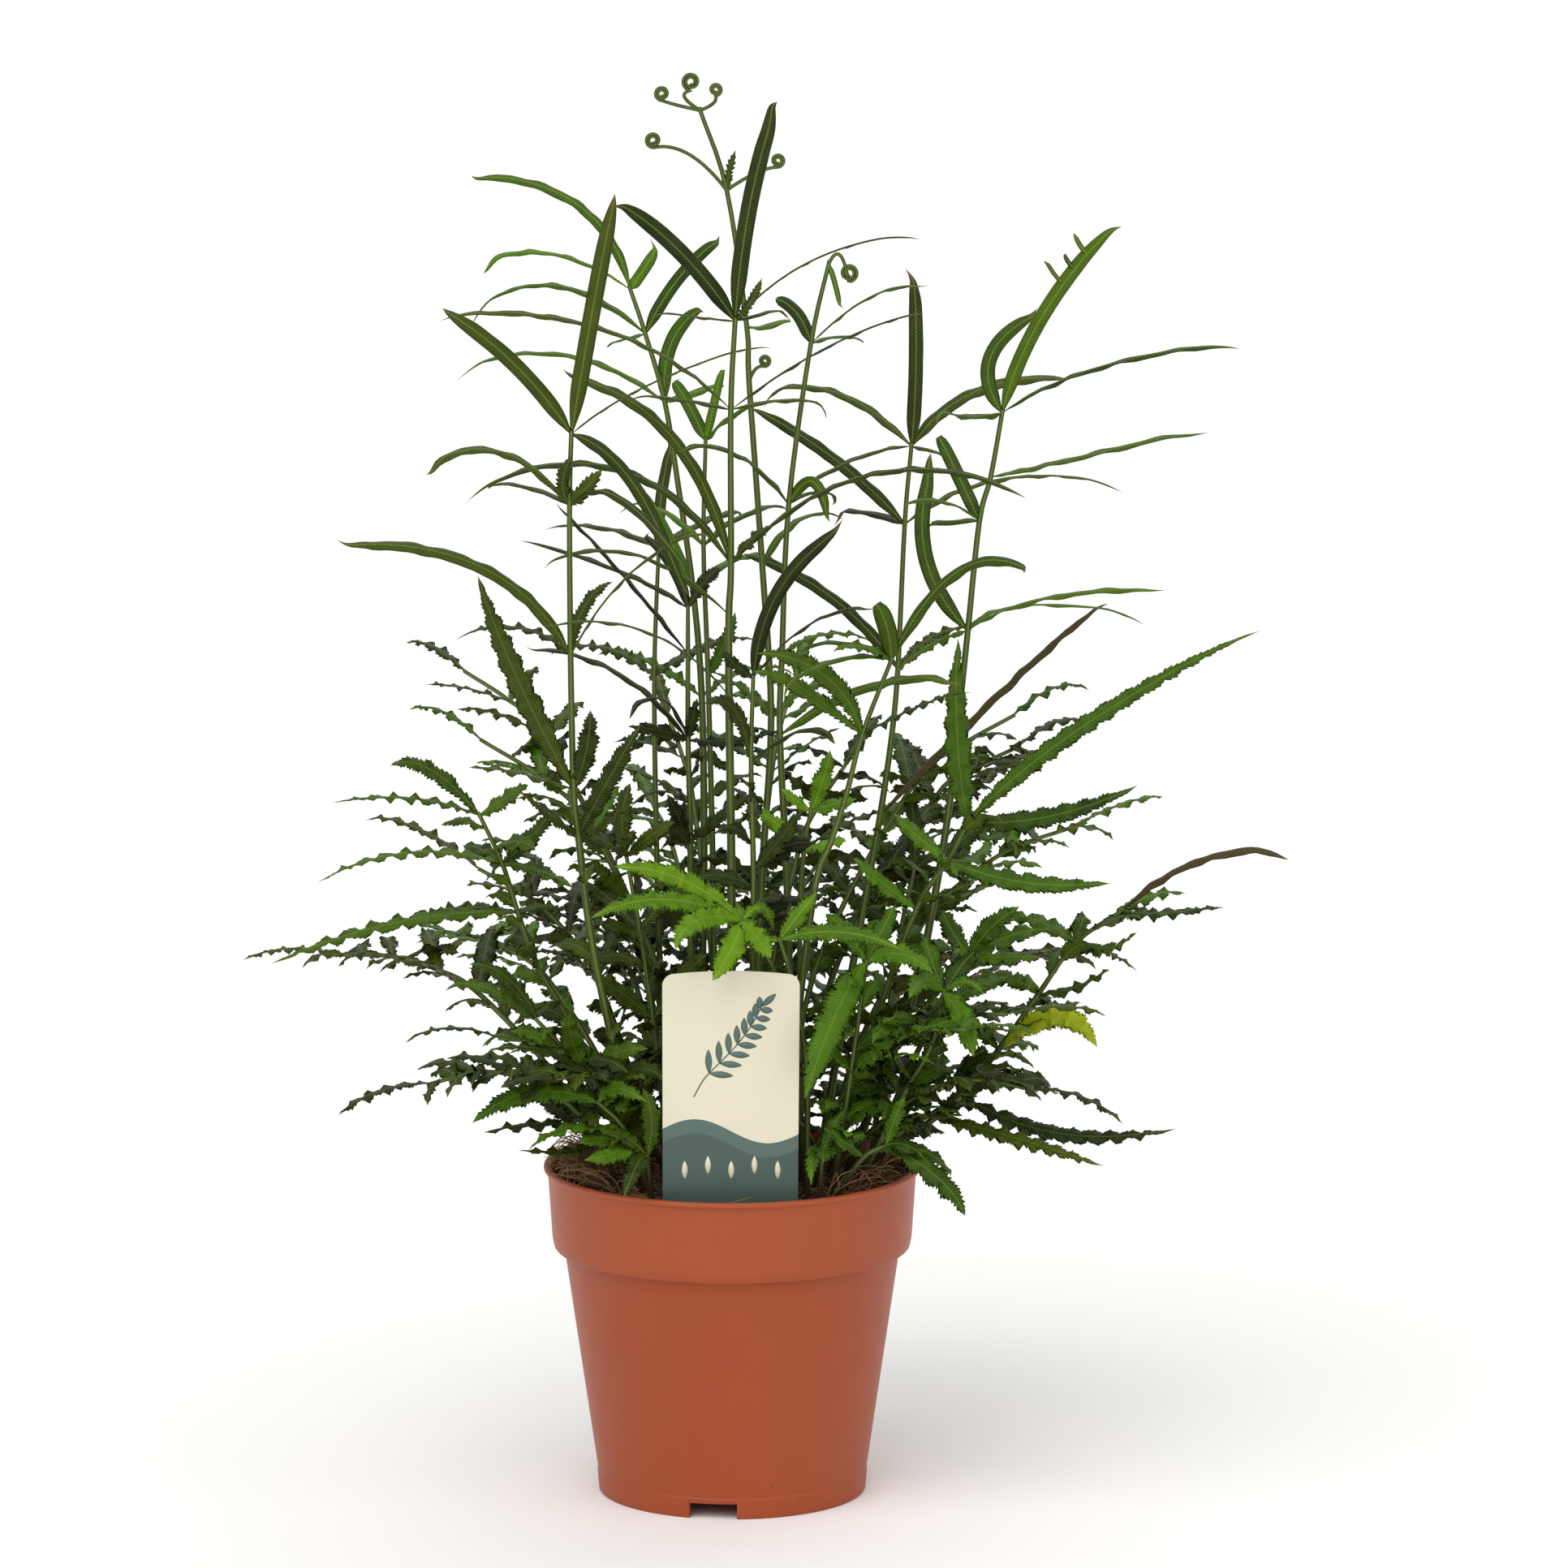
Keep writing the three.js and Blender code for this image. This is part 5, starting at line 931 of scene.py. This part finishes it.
def fingersOf(blade):
    # each finger rises from the blade's edge on the side that faces the middle of the plant
    shares = np.array([share for share, length, width in fingers["each"]])
    row, ahead = along3(blade["root"], blade["middle"], blade["tip"], shares)
    made = []
    for root, way, (_, length, width) in zip(row, unit(ahead), fingers["each"]):
        inner = unit(np.cross(way, [0.0, 1.0, 0.0]))
        tip = root + unit(inner + upright * 0.7 - way * 0.1) * length
        made.append(dict(kind="line", width=width, root=root, tip=tip, facing=blade["facing"],
                         middle=(root + tip) / 2 - upright * 1.2))
    return made


def makeFronds():
    # one piece a frond: its stalk, its blades and, in the low crown, the leaves between them
    stalk = stalkMaterial()
    skins = {tone: leafMaterial(look) for tone, look in tones.items()}
    count = 0
    for number, frond in enumerate(fronds):
        random = seeded(700 + number)
        shells = [stalkShell(frond)]
        low = min(blade["root"][2] for blade in frond["blades"]) < lowLeaves["highest"]
        leafy = low and frond["tone"] != "bright" and not frond["name"].startswith("tall")
        for name, x, z, age in agedBlades:
            for blade in frond["blades"]:
                if name == frond["name"] and math.hypot(blade["tip"][0] - x, blade["tip"][2] - z) < 9:
                    blade["age"] = age
        extra = leavesBetween(frond, random) if leafy else []
        for blade in frond["blades"] if frond["name"] == fingers["name"] else []:
            if blade["tip"][0] > fingers["x"] and blade["tip"][2] > fingers["z"]:
                extra += fingersOf(blade)
        for blade in frond["blades"] + extra:
            shells.append(curlShell(blade) if blade["kind"] == "curl" else bladeShell(blade, random))
        count += sum(len(shell[1]) for shell in shells) * 2  # two triangles a quad
        tone = frond["tone"]
        makePiece(frond["name"] + "_leaves", shells, [skins[tone], stalk],
                  frond["name"], leafValues)
    print(len(fronds), "fronds made,", count, "triangles")


makeFronds()


# Pot

pot = dict(height=153, wall=1.8, foot=61.5, shoulder=(77, 113), collar=84.6, collarFoot=119, lip=86.5,
           lipHeight=2.8, underside=6.6, dimple=(13, 19), slots=3, slotWidth=22, slotHeight=7.2,
           slotTurn=-8, drainRadius=5, drainCircle=42, columns=240)


def rounded(corners, radius, steps=4):
    # a profile with each corner replaced by a short quadratic curve
    corners = [np.array(c, float) for c in corners]
    out = [corners[0]]
    for before, here, after in zip(corners, corners[1:], corners[2:]):
        inward, onward = before - here, after - here
        reach = min(radius, np.linalg.norm(inward) * 0.45, np.linalg.norm(onward) * 0.45)
        a, b = here + unit(inward) * reach, here + unit(onward) * reach
        for t in np.linspace(0, 1, steps):
            out.append((1 - t) ** 2 * a + 2 * t * (1 - t) * here + t ** 2 * b)
    return np.array(out + [corners[-1]])


def makePot():
    # a profile turned about the pot's axis, whose lowest points are raised to the slot's top at a slot
    wall, foot, lip, top = pot["wall"], pot["foot"], pot["lip"], pot["height"]
    (shoulder, shoulderUp), collar, under = pot["shoulder"], pot["collar"], pot["underside"]
    dip, rise = pot["dimple"]
    floorTop = under + wall
    profile = rounded([
        (0.02, 0), (dip, 0), (rise, under), (foot - wall - 0.6, under), (foot - wall, 0), (foot, 0),
        (foot + 0.75, 9.2), (foot + 0.45, 9.8), (foot + 0.5, 10.4), (shoulder, shoulderUp),
        (collar - 2.9, shoulderUp + 1.8), (collar - 2, pot["collarFoot"]),
        (collar, top - pot["lipHeight"] - 0.6), (lip, top - pot["lipHeight"] + 0.5), (lip, top - 0.6),
        (lip - 1.2, top), (collar - wall, top - 0.5),
        (collar - 2 - wall, pot["collarFoot"] + 0.6), (shoulder - wall, shoulderUp - 1.2),
        (foot - wall + 1.1, floorTop), (rise - 1, floorTop), (dip - 1, wall), (0.02, wall)], 0.8)
    # the columns stand close on both sides of each slot's edge, so that its sides are upright
    edge = math.degrees(math.asin(pot["slotWidth"] / 2 / foot))
    mids = -90 + pot["slotTurn"] + np.arange(pot["slots"]) * 360 / pot["slots"]
    marks = np.concatenate([mids - edge - 0.02, mids - edge, mids + edge, mids + edge + 0.02])
    angles = np.unique(np.concatenate([np.arange(pot["columns"]) * 360 / pot["columns"], marks % 360]))
    gap = np.min(np.abs((angles[:, None] - mids[None, :] + 180) % 360 - 180), axis=1)
    r, z = profile[:, 0][:, None], profile[:, 1][:, None]
    inSlot = (gap[None, :] <= edge + 1e-6) & (r > 50) & (z < pot["slotHeight"])
    z = np.where(inSlot, pot["slotHeight"], z + 0 * gap[None, :])
    a = np.radians(angles)[None, :]
    points = np.stack([r * np.cos(a), r * np.sin(a), z], -1).reshape(-1, 3)
    rings, sides = z.shape
    i, c = np.meshgrid(np.arange(rings - 1), np.arange(sides), indexing="ij")
    p, q = (i * sides + c).ravel(), (i * sides + (c + 1) % sides).ravel()
    quads = outward(points, np.stack([p, q, q + sides, p + sides], 1))
    body = makePiece("pot_body", [(points, quads, 0, {})], [potMaterial()], "pot")
    # both ends of the profile close at the axis, and the drain holes are cut through the floor
    mesh = body.data
    closing = bmesh.new()
    closing.from_mesh(mesh)
    bmesh.ops.remove_doubles(closing, verts=closing.verts, dist=0.03 * mm)
    closing.to_mesh(mesh)
    closing.free()
    for number, middle in enumerate(np.radians(mids)):
        turn = np.arange(24) / 24 * 2 * math.pi
        x = pot["drainCircle"] * math.cos(middle) + pot["drainRadius"] * np.cos(turn)
        y = pot["drainCircle"] * math.sin(middle) + pot["drainRadius"] * np.sin(turn)
        ring = [np.stack([x, y, np.full(24, h)], 1) for h in (under - 3.0, floorTop + 3.0)]
        tool = bpy.data.meshes.new("drain")
        sidesOf = [(k, (k + 1) % 24, (k + 1) % 24 + 24, k + 24) for k in range(24)]
        tool.from_pydata((np.concatenate(ring) * mm).tolist(), [],
                         [*sidesOf, tuple(range(23, -1, -1)), tuple(range(24, 48))])
        cutter = bpy.data.objects.new("drain", tool)
        scene.collection.objects.link(cutter)
        cut = body.modifiers.new("drain", "BOOLEAN")
        cut.operation, cut.object, cut.solver = "DIFFERENCE", cutter, "EXACT"
        bpy.context.view_layer.update()
        solid = bpy.data.meshes.new_from_object(body.evaluated_get(bpy.context.evaluated_depsgraph_get()))
        body.modifiers.clear()
        body.data = solid
        bpy.data.objects.remove(cutter)
    solid.polygons.foreach_set("use_smooth", np.ones(len(solid.polygons), dtype=bool))
    solid.set_sharp_from_angle(angle=math.radians(38))
    print("pot made,", len(solid.polygons), "faces")


# Injection-moulded polypropylene, terracotta-coloured: even and slightly waxy, with a fine moulded
# grain, faint upright flow marks, a collar painted paler as painted light, and a few small dark specks of
# soil. Pattern sizes in mm; the collar's painted light begins between the two heights.
potLook = dict(cloud=71.4, flow=6.25, grain=0.714, grainDepth=0.08, specks=6.67, speckPatch=22.2,
               dark="94401E", light="A04A26", streak="AC5630", collar="A65230", dirt="4A2C1E",
               litCollarFrom=112, litCollarTo=120)


def potMaterial():
    # noise mixes the two terracottas, and streaks, painted light that makes the collar paler, and specks of
    # dirt lie over them
    material, tree = newMaterial("injection-moulded polypropylene")
    place = addNode(tree, "TexCoord").outputs["Object"]
    tall = addNode(tree, "Mapping", {"Scale": (1, 1, 0.06)}, {"Vector": place}).outputs[0]
    cloud = addNode(tree, "TexNoise", {"Scale": 1000 / potLook["cloud"], "Detail": 5.0, "Roughness": 0.6},
                    {"Vector": place}).outputs["Fac"]
    flow, grain, rare = (
        addNode(tree, "TexNoise", {"Scale": 1000 / potLook[name], "Detail": detail},
                {"Vector": vector}).outputs["Fac"]
        for name, detail, vector in (("flow", 2.0, tall), ("grain", 2.0, place), ("speckPatch", 1.0, place)))
    specks = addNode(tree, "TexVoronoi", {"Scale": 1000 / potLook["specks"]},
                     {"Vector": place}).outputs["Distance"]
    height = addNode(tree, "SeparateXYZ", links={0: place}).outputs["Z"]
    streak = addNode(tree, "MapRange", {1: 0.5, 2: 0.8, 4: 0.07}, {0: flow}).outputs[0]
    # painted light: the collar and lip, from the shoulder up, are painted paler, as if lit more than the
    # body below
    collar = addNode(tree, "MapRange", {1: potLook["litCollarFrom"] * mm, 2: potLook["litCollarTo"] * mm, 4: 0.3},
                     {0: height}).outputs[0]
    dot = addNode(tree, "MapRange", {1: 0.1, 2: 0.05}, {0: specks}).outputs[0]
    some = addNode(tree, "MapRange", {1: 0.62, 2: 0.66}, {0: rare}).outputs[0]
    dirt = addNode(tree, "Math", {"operation": "MULTIPLY"}, {0: dot, 1: some}).outputs[0]
    body = addNode(tree, "Mix", {"data_type": "RGBA", 6: linear(potLook["dark"]),
                                 7: linear(potLook["light"])}, {0: cloud}).outputs[2]
    for name, mask in (("streak", streak), ("collar", collar), ("dirt", dirt)):
        body = addNode(tree, "Mix", {"data_type": "RGBA", 7: linear(potLook[name])},
                       {0: mask, 6: body}).outputs[2]
    rough = addNode(tree, "MapRange", {3: 0.38, 4: 0.52}, {0: cloud}).outputs[0]
    bump = addNode(tree, "Bump", {"Strength": 0.25, "Distance": potLook["grainDepth"] * mm},
                   {"Height": grain}).outputs[0]
    shader = addNode(tree, "BsdfPrincipled", {"IOR": 1.49, "Specular IOR Level": 0.3},
                     {"Base Color": body, "Roughness": rough, "Normal": bump})
    addNode(tree, "OutputMaterial", links={"Surface": shader.outputs[0]})
    return material


makePot()


# Soil

soil = dict(top=146, rough=1.6, rings=70, columns=200, seed=21, crumbs=900, crumbReach=80,
            crumbSize=(0.6, 2.0), fibres=760, fibreReach=82, fibreLength=(8, 30), fibreThick=(0.26, 0.13),
            tuftThick=(0.34, 0.15), tufts=((176, 22, 110), (22, 18, 40), (212, 12, 26), (325, 16, 18)))


def soilHeight(x, y):
    # the source's low swells, with lumps of peat a few millimetres across on top of them
    swell = soil["rough"] * (np.sin(x * 0.21 + 1) * np.cos(y * 0.17) - 0.3)
    lumps = np.sin(x * 0.83 + 1.7 * np.sin(y * 0.41)) * np.sin(y * 0.77 + 1.3 * np.sin(x * 0.53))
    grit = np.sin(x * 2.3 + 3 * np.sin(y * 1.1)) * np.sin(y * 2.1 + 2 * np.sin(x * 1.7))
    return soil["top"] + swell + 0.9 * lumps + 0.5 * grit


def makeSoil():
    # a closed turned solid whose top is soilHeight and whose sides follow the inside of the pot
    gap, wall = 0.4, pot["wall"]
    floorTop = pot["underside"] + wall + gap
    dip, rise = pot["dimple"]
    edge = pot["collar"] - 0.6 - wall - gap
    side = [(0.02, wall + gap), (dip - 1.4, wall + gap), (rise - 1.6, floorTop),
            (pot["foot"] - wall - gap, floorTop), (pot["shoulder"][0] - wall - gap, pot["shoulder"][1] - 1),
            (pot["collar"] - 2.1 - wall - gap, pot["collarFoot"] + 1), (edge, soil["top"] - 2)]
    share = np.linspace(1, 0.0003, soil["rings"]) ** 0.8
    r = np.concatenate([[p[0] for p in side], edge * share])
    a = np.arange(soil["columns"]) / soil["columns"] * 2 * math.pi
    x, y = r[:, None] * np.cos(a)[None, :], r[:, None] * np.sin(a)[None, :]
    z = soilHeight(x, y)
    z[:len(side)] = np.array([p[1] for p in side])[:, None]
    points = np.stack([x, y, z], -1).reshape(-1, 3)
    quads = outward(points, ringQuads(len(r), soil["columns"]))
    earth = soilMaterial()
    makePiece("peat_soil", [(points, quads, 0, {})], [earth], "soil")
    random = np.random.default_rng(soil["seed"])
    # crumbs: eight-cornered lumps of 1 to 3 mm, each corner moved at random
    count = soil["crumbs"]
    angle = random.uniform(0, 2 * math.pi, count)
    far = soil["crumbReach"] * np.sqrt(random.uniform(0, 1, count))
    cx, cy = far * np.cos(angle), far * np.sin(angle)
    size = random.uniform(*soil["crumbSize"], count)
    corner = np.array([(-1, -1, -1), (1, -1, -1), (1, 1, -1), (-1, 1, -1),
                       (-1, -1, 1), (1, -1, 1), (1, 1, 1), (-1, 1, 1)], float)
    lumps = corner[None] * random.uniform(0.5, 1.1, (count, 8, 3)) * size[:, None, None]
    lumps = lumps + np.stack([cx, cy, soilHeight(cx, cy) + size * 0.3], 1)[:, None, :]
    box = np.array([(0, 3, 2, 1), (4, 5, 6, 7), (0, 1, 5, 4), (1, 2, 6, 5), (2, 3, 7, 6), (3, 0, 4, 7)])
    quads = (box[None] + np.arange(count)[:, None, None] * 8).reshape(-1, 4)
    makePiece("peat_crumbs", [(lumps.reshape(-1, 3), quads, 0, {})], [earth])
    # coir: bent four-sided threads that lie on the soil, some with an end over the rim
    shells = []
    for k in range(soil["fibres"]):
        heading = random.uniform(0, 2 * math.pi)
        far = soil["fibreReach"] * math.sqrt(random.uniform(0.02, 1))
        bearing = random.uniform(0, 2 * math.pi)
        length = random.uniform(*soil["fibreLength"])
        bend = random.uniform(-0.9, 0.9)
        t = np.linspace(-0.5, 0.5, 8)
        c, s, bow = math.cos(heading), math.sin(heading), bend * (t ** 2 - 0.08)
        x = far * math.cos(bearing) + length * (t * c - bow * s)
        y = far * math.sin(bearing) + length * (t * s + bow * c)
        reach = np.hypot(x, y)
        keep = np.minimum(1, 81.2 / np.maximum(reach, 1e-6))
        x, y = x * keep, y * keep
        z = soilHeight(x, y) + 0.5 + random.uniform(0.2, 2.6) * (1 - (2 * t) ** 2) + random.uniform(0, 0.8)
        z = z + np.maximum(0, t) * random.uniform(0, 9) * (random.uniform() < 0.25)
        points, quads, _ = tubeShell(np.stack([x, y, z], 1), np.linspace(*soil["fibreThick"], 8), 4)
        shells.append((points, quads, 0, {}))
    # loose threads that stick up past the rim, in tufts of a direction and spread in degrees and a number
    for bearing, spread, number in soil["tufts"]:
        for k in range(number):
            way = math.radians(bearing + random.uniform(-spread, spread))
            t = np.linspace(0, 1, 9)
            r = 66 + t * random.uniform(12, 21)
            swing = way + random.uniform(-0.35, 0.35) * t ** 2
            z = 146 + np.sin(t * random.uniform(1.6, 2.6)) * random.uniform(7, 16)
            z = np.maximum(z, np.where(r > 80, pot["height"] + 0.6, 0))
            points, quads, _ = tubeShell(np.stack([r * np.cos(swing), r * np.sin(swing), z], 1),
                                         np.linspace(*soil["tuftThick"], 9), 4)
            shells.append((points, quads, 0, {}))
    makePiece("coir_fibres", shells, [fibreMaterial()])
    print("soil made")


# Moist peat: dark brown, crumbly and matt, with lighter bits of bark and fibre. Pattern sizes in mm.
soilLook = dict(crumb=2.38, cloud=3.85, crumbDepth=1.2, dark="241811", light="5A4230", bark="86684A")


def soilMaterial():
    # noise mixes dark and light peat, bark shows where it is highest, and cells raise the crumbs
    material, tree = newMaterial("moist peat soil")
    place = addNode(tree, "TexCoord").outputs["Object"]
    crumb = addNode(tree, "TexVoronoi", {"Scale": 1000 / soilLook["crumb"]},
                    {"Vector": place}).outputs["Distance"]
    cloud = addNode(tree, "TexNoise", {"Scale": 1000 / soilLook["cloud"], "Detail": 6.0},
                    {"Vector": place}).outputs["Fac"]
    bark = addNode(tree, "MapRange", {1: 0.62, 2: 0.7, 4: 0.6}, {0: cloud}).outputs[0]
    body = addNode(tree, "Mix", {"data_type": "RGBA", 6: linear(soilLook["dark"]),
                                 7: linear(soilLook["light"])}, {0: cloud}).outputs[2]
    body = addNode(tree, "Mix", {"data_type": "RGBA", 7: linear(soilLook["bark"])},
                   {0: bark, 6: body}).outputs[2]
    bump = addNode(tree, "Bump", {"Strength": 0.9, "Distance": soilLook["crumbDepth"] * mm},
                   {"Height": crumb}).outputs[0]
    shader = addNode(tree, "BsdfPrincipled", {"Roughness": 0.93}, {"Base Color": body, "Normal": bump})
    addNode(tree, "OutputMaterial", links={"Surface": shader.outputs[0]})
    return material


# Coir: dry coconut fibre, tan to red-brown and matt, its colour changing every 14 mm or so.
fibreLook = dict(cloud=14.3, dark="6A472A", light="B08A5E")


def fibreMaterial():
    # noise mixes the two colours of the fibre
    material, tree = newMaterial("dry coir fibre")
    place = addNode(tree, "TexCoord").outputs["Object"]
    cloud = addNode(tree, "TexNoise", {"Scale": 1000 / fibreLook["cloud"], "Detail": 2.0},
                    {"Vector": place}).outputs["Fac"]
    body = addNode(tree, "Mix", {"data_type": "RGBA", 6: linear(fibreLook["dark"]),
                                 7: linear(fibreLook["light"])}, {0: cloud}).outputs[2]
    shader = addNode(tree, "BsdfPrincipled", {"Roughness": 0.8}, {"Base Color": body})
    addNode(tree, "OutputMaterial", links={"Surface": shader.outputs[0]})
    return material


makeSoil()


# Plant label

label = dict(width=62, top=254, cardFoot=128, stakeFoot=92, stakeWidth=20, stakeTip=6, thick=0.8,
             corner=5.5, crown=1.4, y=-67, lean=1.5, cream="DAD4BC", band="51665E", deepBand="42564F",
             leaves=8, seeds=5)


def onCard(x, forward, z):  # a place on the card, forward of its middle, leaned back as in the source
    lean = math.radians(-label["lean"])
    up = np.asarray(z, float) - soil["top"]
    y = -np.asarray(forward, float)
    return np.stack(np.broadcast_arrays(x, label["y"] + y * math.cos(lean) - up * math.sin(lean),
                                        soil["top"] + y * math.sin(lean) + up * math.cos(lean)), -1)


def makeLabel():
    # a rounded outline, the same on both faces and 0.15 mm smaller there than half way through
    half, corner = label["width"] / 2, label["corner"]
    turn = np.linspace(0, math.pi / 2, 9)
    right = np.stack([half - corner + corner * np.cos(turn),
                      label["top"] - corner + corner * np.sin(turn)], 1)
    x = np.linspace(half - corner, -half + corner, 15)[1:-1]
    crownRow = np.stack([x, label["top"] + label["crown"] * (1 - (x / (half - corner)) ** 2)], 1)
    left = right[::-1] * [-1, 1]
    low = [(-half, label["cardFoot"] + 1), (-half + 1, label["cardFoot"]), (-label["stakeWidth"] / 2,
           label["cardFoot"]), (-label["stakeTip"] / 2, label["stakeFoot"])]
    outline = np.concatenate([right, crownRow, left, low, np.array(low[::-1]) * [-1, 1]])
    outline = outline[:len(outline) // 2 * 2]
    middle = np.array([0, (label["top"] + label["cardFoot"]) / 2])
    rings = []
    face = label["thick"] / 2
    for forward, inset in ((-face, 0.15), (0.15 - face, 0), (face - 0.15, 0), (face, 0.15)):
        row = outline + unit(middle - outline) * inset
        rings.append(onCard(row[:, 0], forward, row[:, 1]))
    count = len(outline)
    points = np.concatenate(rings)
    i, c = np.meshgrid(np.arange(3), np.arange(count), indexing="ij")
    a, b = (i * count + c).ravel(), (i * count + (c + 1) % count).ravel()
    faces = [tuple(q) for q in np.stack([a, b, b + count, a + count], 1).tolist()]
    faces += [tuple(range(count - 1, -1, -1)), tuple(range(3 * count, 4 * count))]
    mesh = bpy.data.meshes.new("label_card")
    mesh.from_pydata((points * mm).tolist(), [], faces)
    shape = bmesh.new()
    shape.from_mesh(mesh)
    bmesh.ops.recalc_face_normals(shape, faces=shape.faces)
    shape.to_mesh(mesh)
    shape.free()
    mesh.materials.append(cardMaterial())
    card = bpy.data.objects.new("label_card", mesh)
    scene.collection.objects.link(card)
    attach(card, "root")
    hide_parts("label")
    # a printed sprig: pointed ovals in pairs along a bent stalk, and a row of seeds below it
    at = np.append(np.linspace(0.08, 0.96, label["leaves"]), 1.0)
    stalkX, stalkZ = sprigStalk(at)
    shells = []
    for t, x, z in zip(at[:-1], stalkX, stalkZ):
        shells += [leafPrint(x, z, 0.75 + hand * 0.85, 10.5 * (1.1 - 0.55 * t), 3.1, 0) for hand in (-1, 1)]
    shells.append(leafPrint(stalkX[-1], stalkZ[-1], 0.72, 9, 3, 0))
    for k in range(label["seeds"]):
        shells.append(leafPrint(-21 + 10.5 * k, 160 + 2.2 * (k % 2), 1.57, 8.5, 2.6, 1))
    t = np.linspace(-0.12, 1, 24)
    before = np.maximum(0, -t)  # the stalk's foot runs on below its first leaf
    x, z = sprigStalk(np.maximum(t, 0))
    row = onCard(x - 32 * before, 0.42, z - 60 * before)
    points, quads, _ = tubeShell(row, np.full(24, 0.3), 4)
    shells.append((points, quads, 0, {}))
    inks = [inkMaterial("printed grey-green ink", label["band"]),
            inkMaterial("printed cream ink", label["cream"])]
    makePiece("label_print", shells, inks)
    print("label made")


def sprigStalk(t):  # x and z of the sprig's stalk: a slanting line with a slight wave in it
    return -13 + 26 * t + 4 * np.sin(t * 3), 205 + 34 * t ** 0.9


def leafPrint(x, z, angle, length, width, ink):
    # a pointed oval 0.1 mm thick that lies on the card: half width = width / 2 times the sine of its length
    t = np.linspace(0.02, 0.98, 9)
    half = width / 2 * np.sin(t * math.pi) ** 0.8
    u, v = math.cos(angle), math.sin(angle)
    rows = []
    for hand, forward in ((-1, 0.41), (1, 0.41), (1, 0.5), (-1, 0.5)):
        aside = hand * half
        rows.append(onCard(x + t * length * u - aside * v, forward, z + t * length * v + aside * u))
    points = np.stack(rows, 1).reshape(-1, 3)
    return points, outward(points, ringQuads(9, 4)), ink, {}


# Printed polypropylene card: smooth and satin, cream above a wave and grey-green in two tones below.
def cardMaterial():
    material, tree = newMaterial("printed polypropylene card")
    place = addNode(tree, "SeparateXYZ", links={0: addNode(tree, "TexCoord").outputs["Object"]})
    wave = addNode(tree, "Math", {"operation": "MULTIPLY", 1: 95.0}, {0: place.outputs["X"]}).outputs[0]
    bend = addNode(tree, "Math", {"operation": "SINE"}, {0: wave}).outputs[0]
    line = addNode(tree, "Math", {"operation": "MULTIPLY_ADD", 1: -0.0055, 2: 0.182}, {0: bend}).outputs[0]
    below = addNode(tree, "Math", {"operation": "LESS_THAN"}, {0: place.outputs["Z"], 1: line}).outputs[0]
    body = addNode(tree, "Mix", {"data_type": "RGBA", 6: linear(label["cream"]), 7: linear(label["band"])},
                   {0: below}).outputs[2]
    lower = addNode(tree, "Math", {"operation": "ADD", 1: -0.0065}, {0: line}).outputs[0]
    foot = addNode(tree, "Math", {"operation": "LESS_THAN"}, {0: place.outputs["Z"], 1: lower}).outputs[0]
    body = addNode(tree, "Mix", {"data_type": "RGBA", 7: linear(label["deepBand"])},
                   {0: foot, 6: body}).outputs[2]
    shader = addNode(tree, "BsdfPrincipled", {"Roughness": 0.38, "IOR": 1.49}, {"Base Color": body})
    addNode(tree, "OutputMaterial", links={"Surface": shader.outputs[0]})
    return material


# Screen-printed ink: one flat colour, a little duller than the card.
def inkMaterial(name, hexText):
    material, tree = newMaterial(name)
    shader = addNode(tree, "BsdfPrincipled", {"Base Color": linear(hexText), "Roughness": 0.42})
    addNode(tree, "OutputMaterial", links={"Surface": shader.outputs[0]})
    return material


makeLabel()
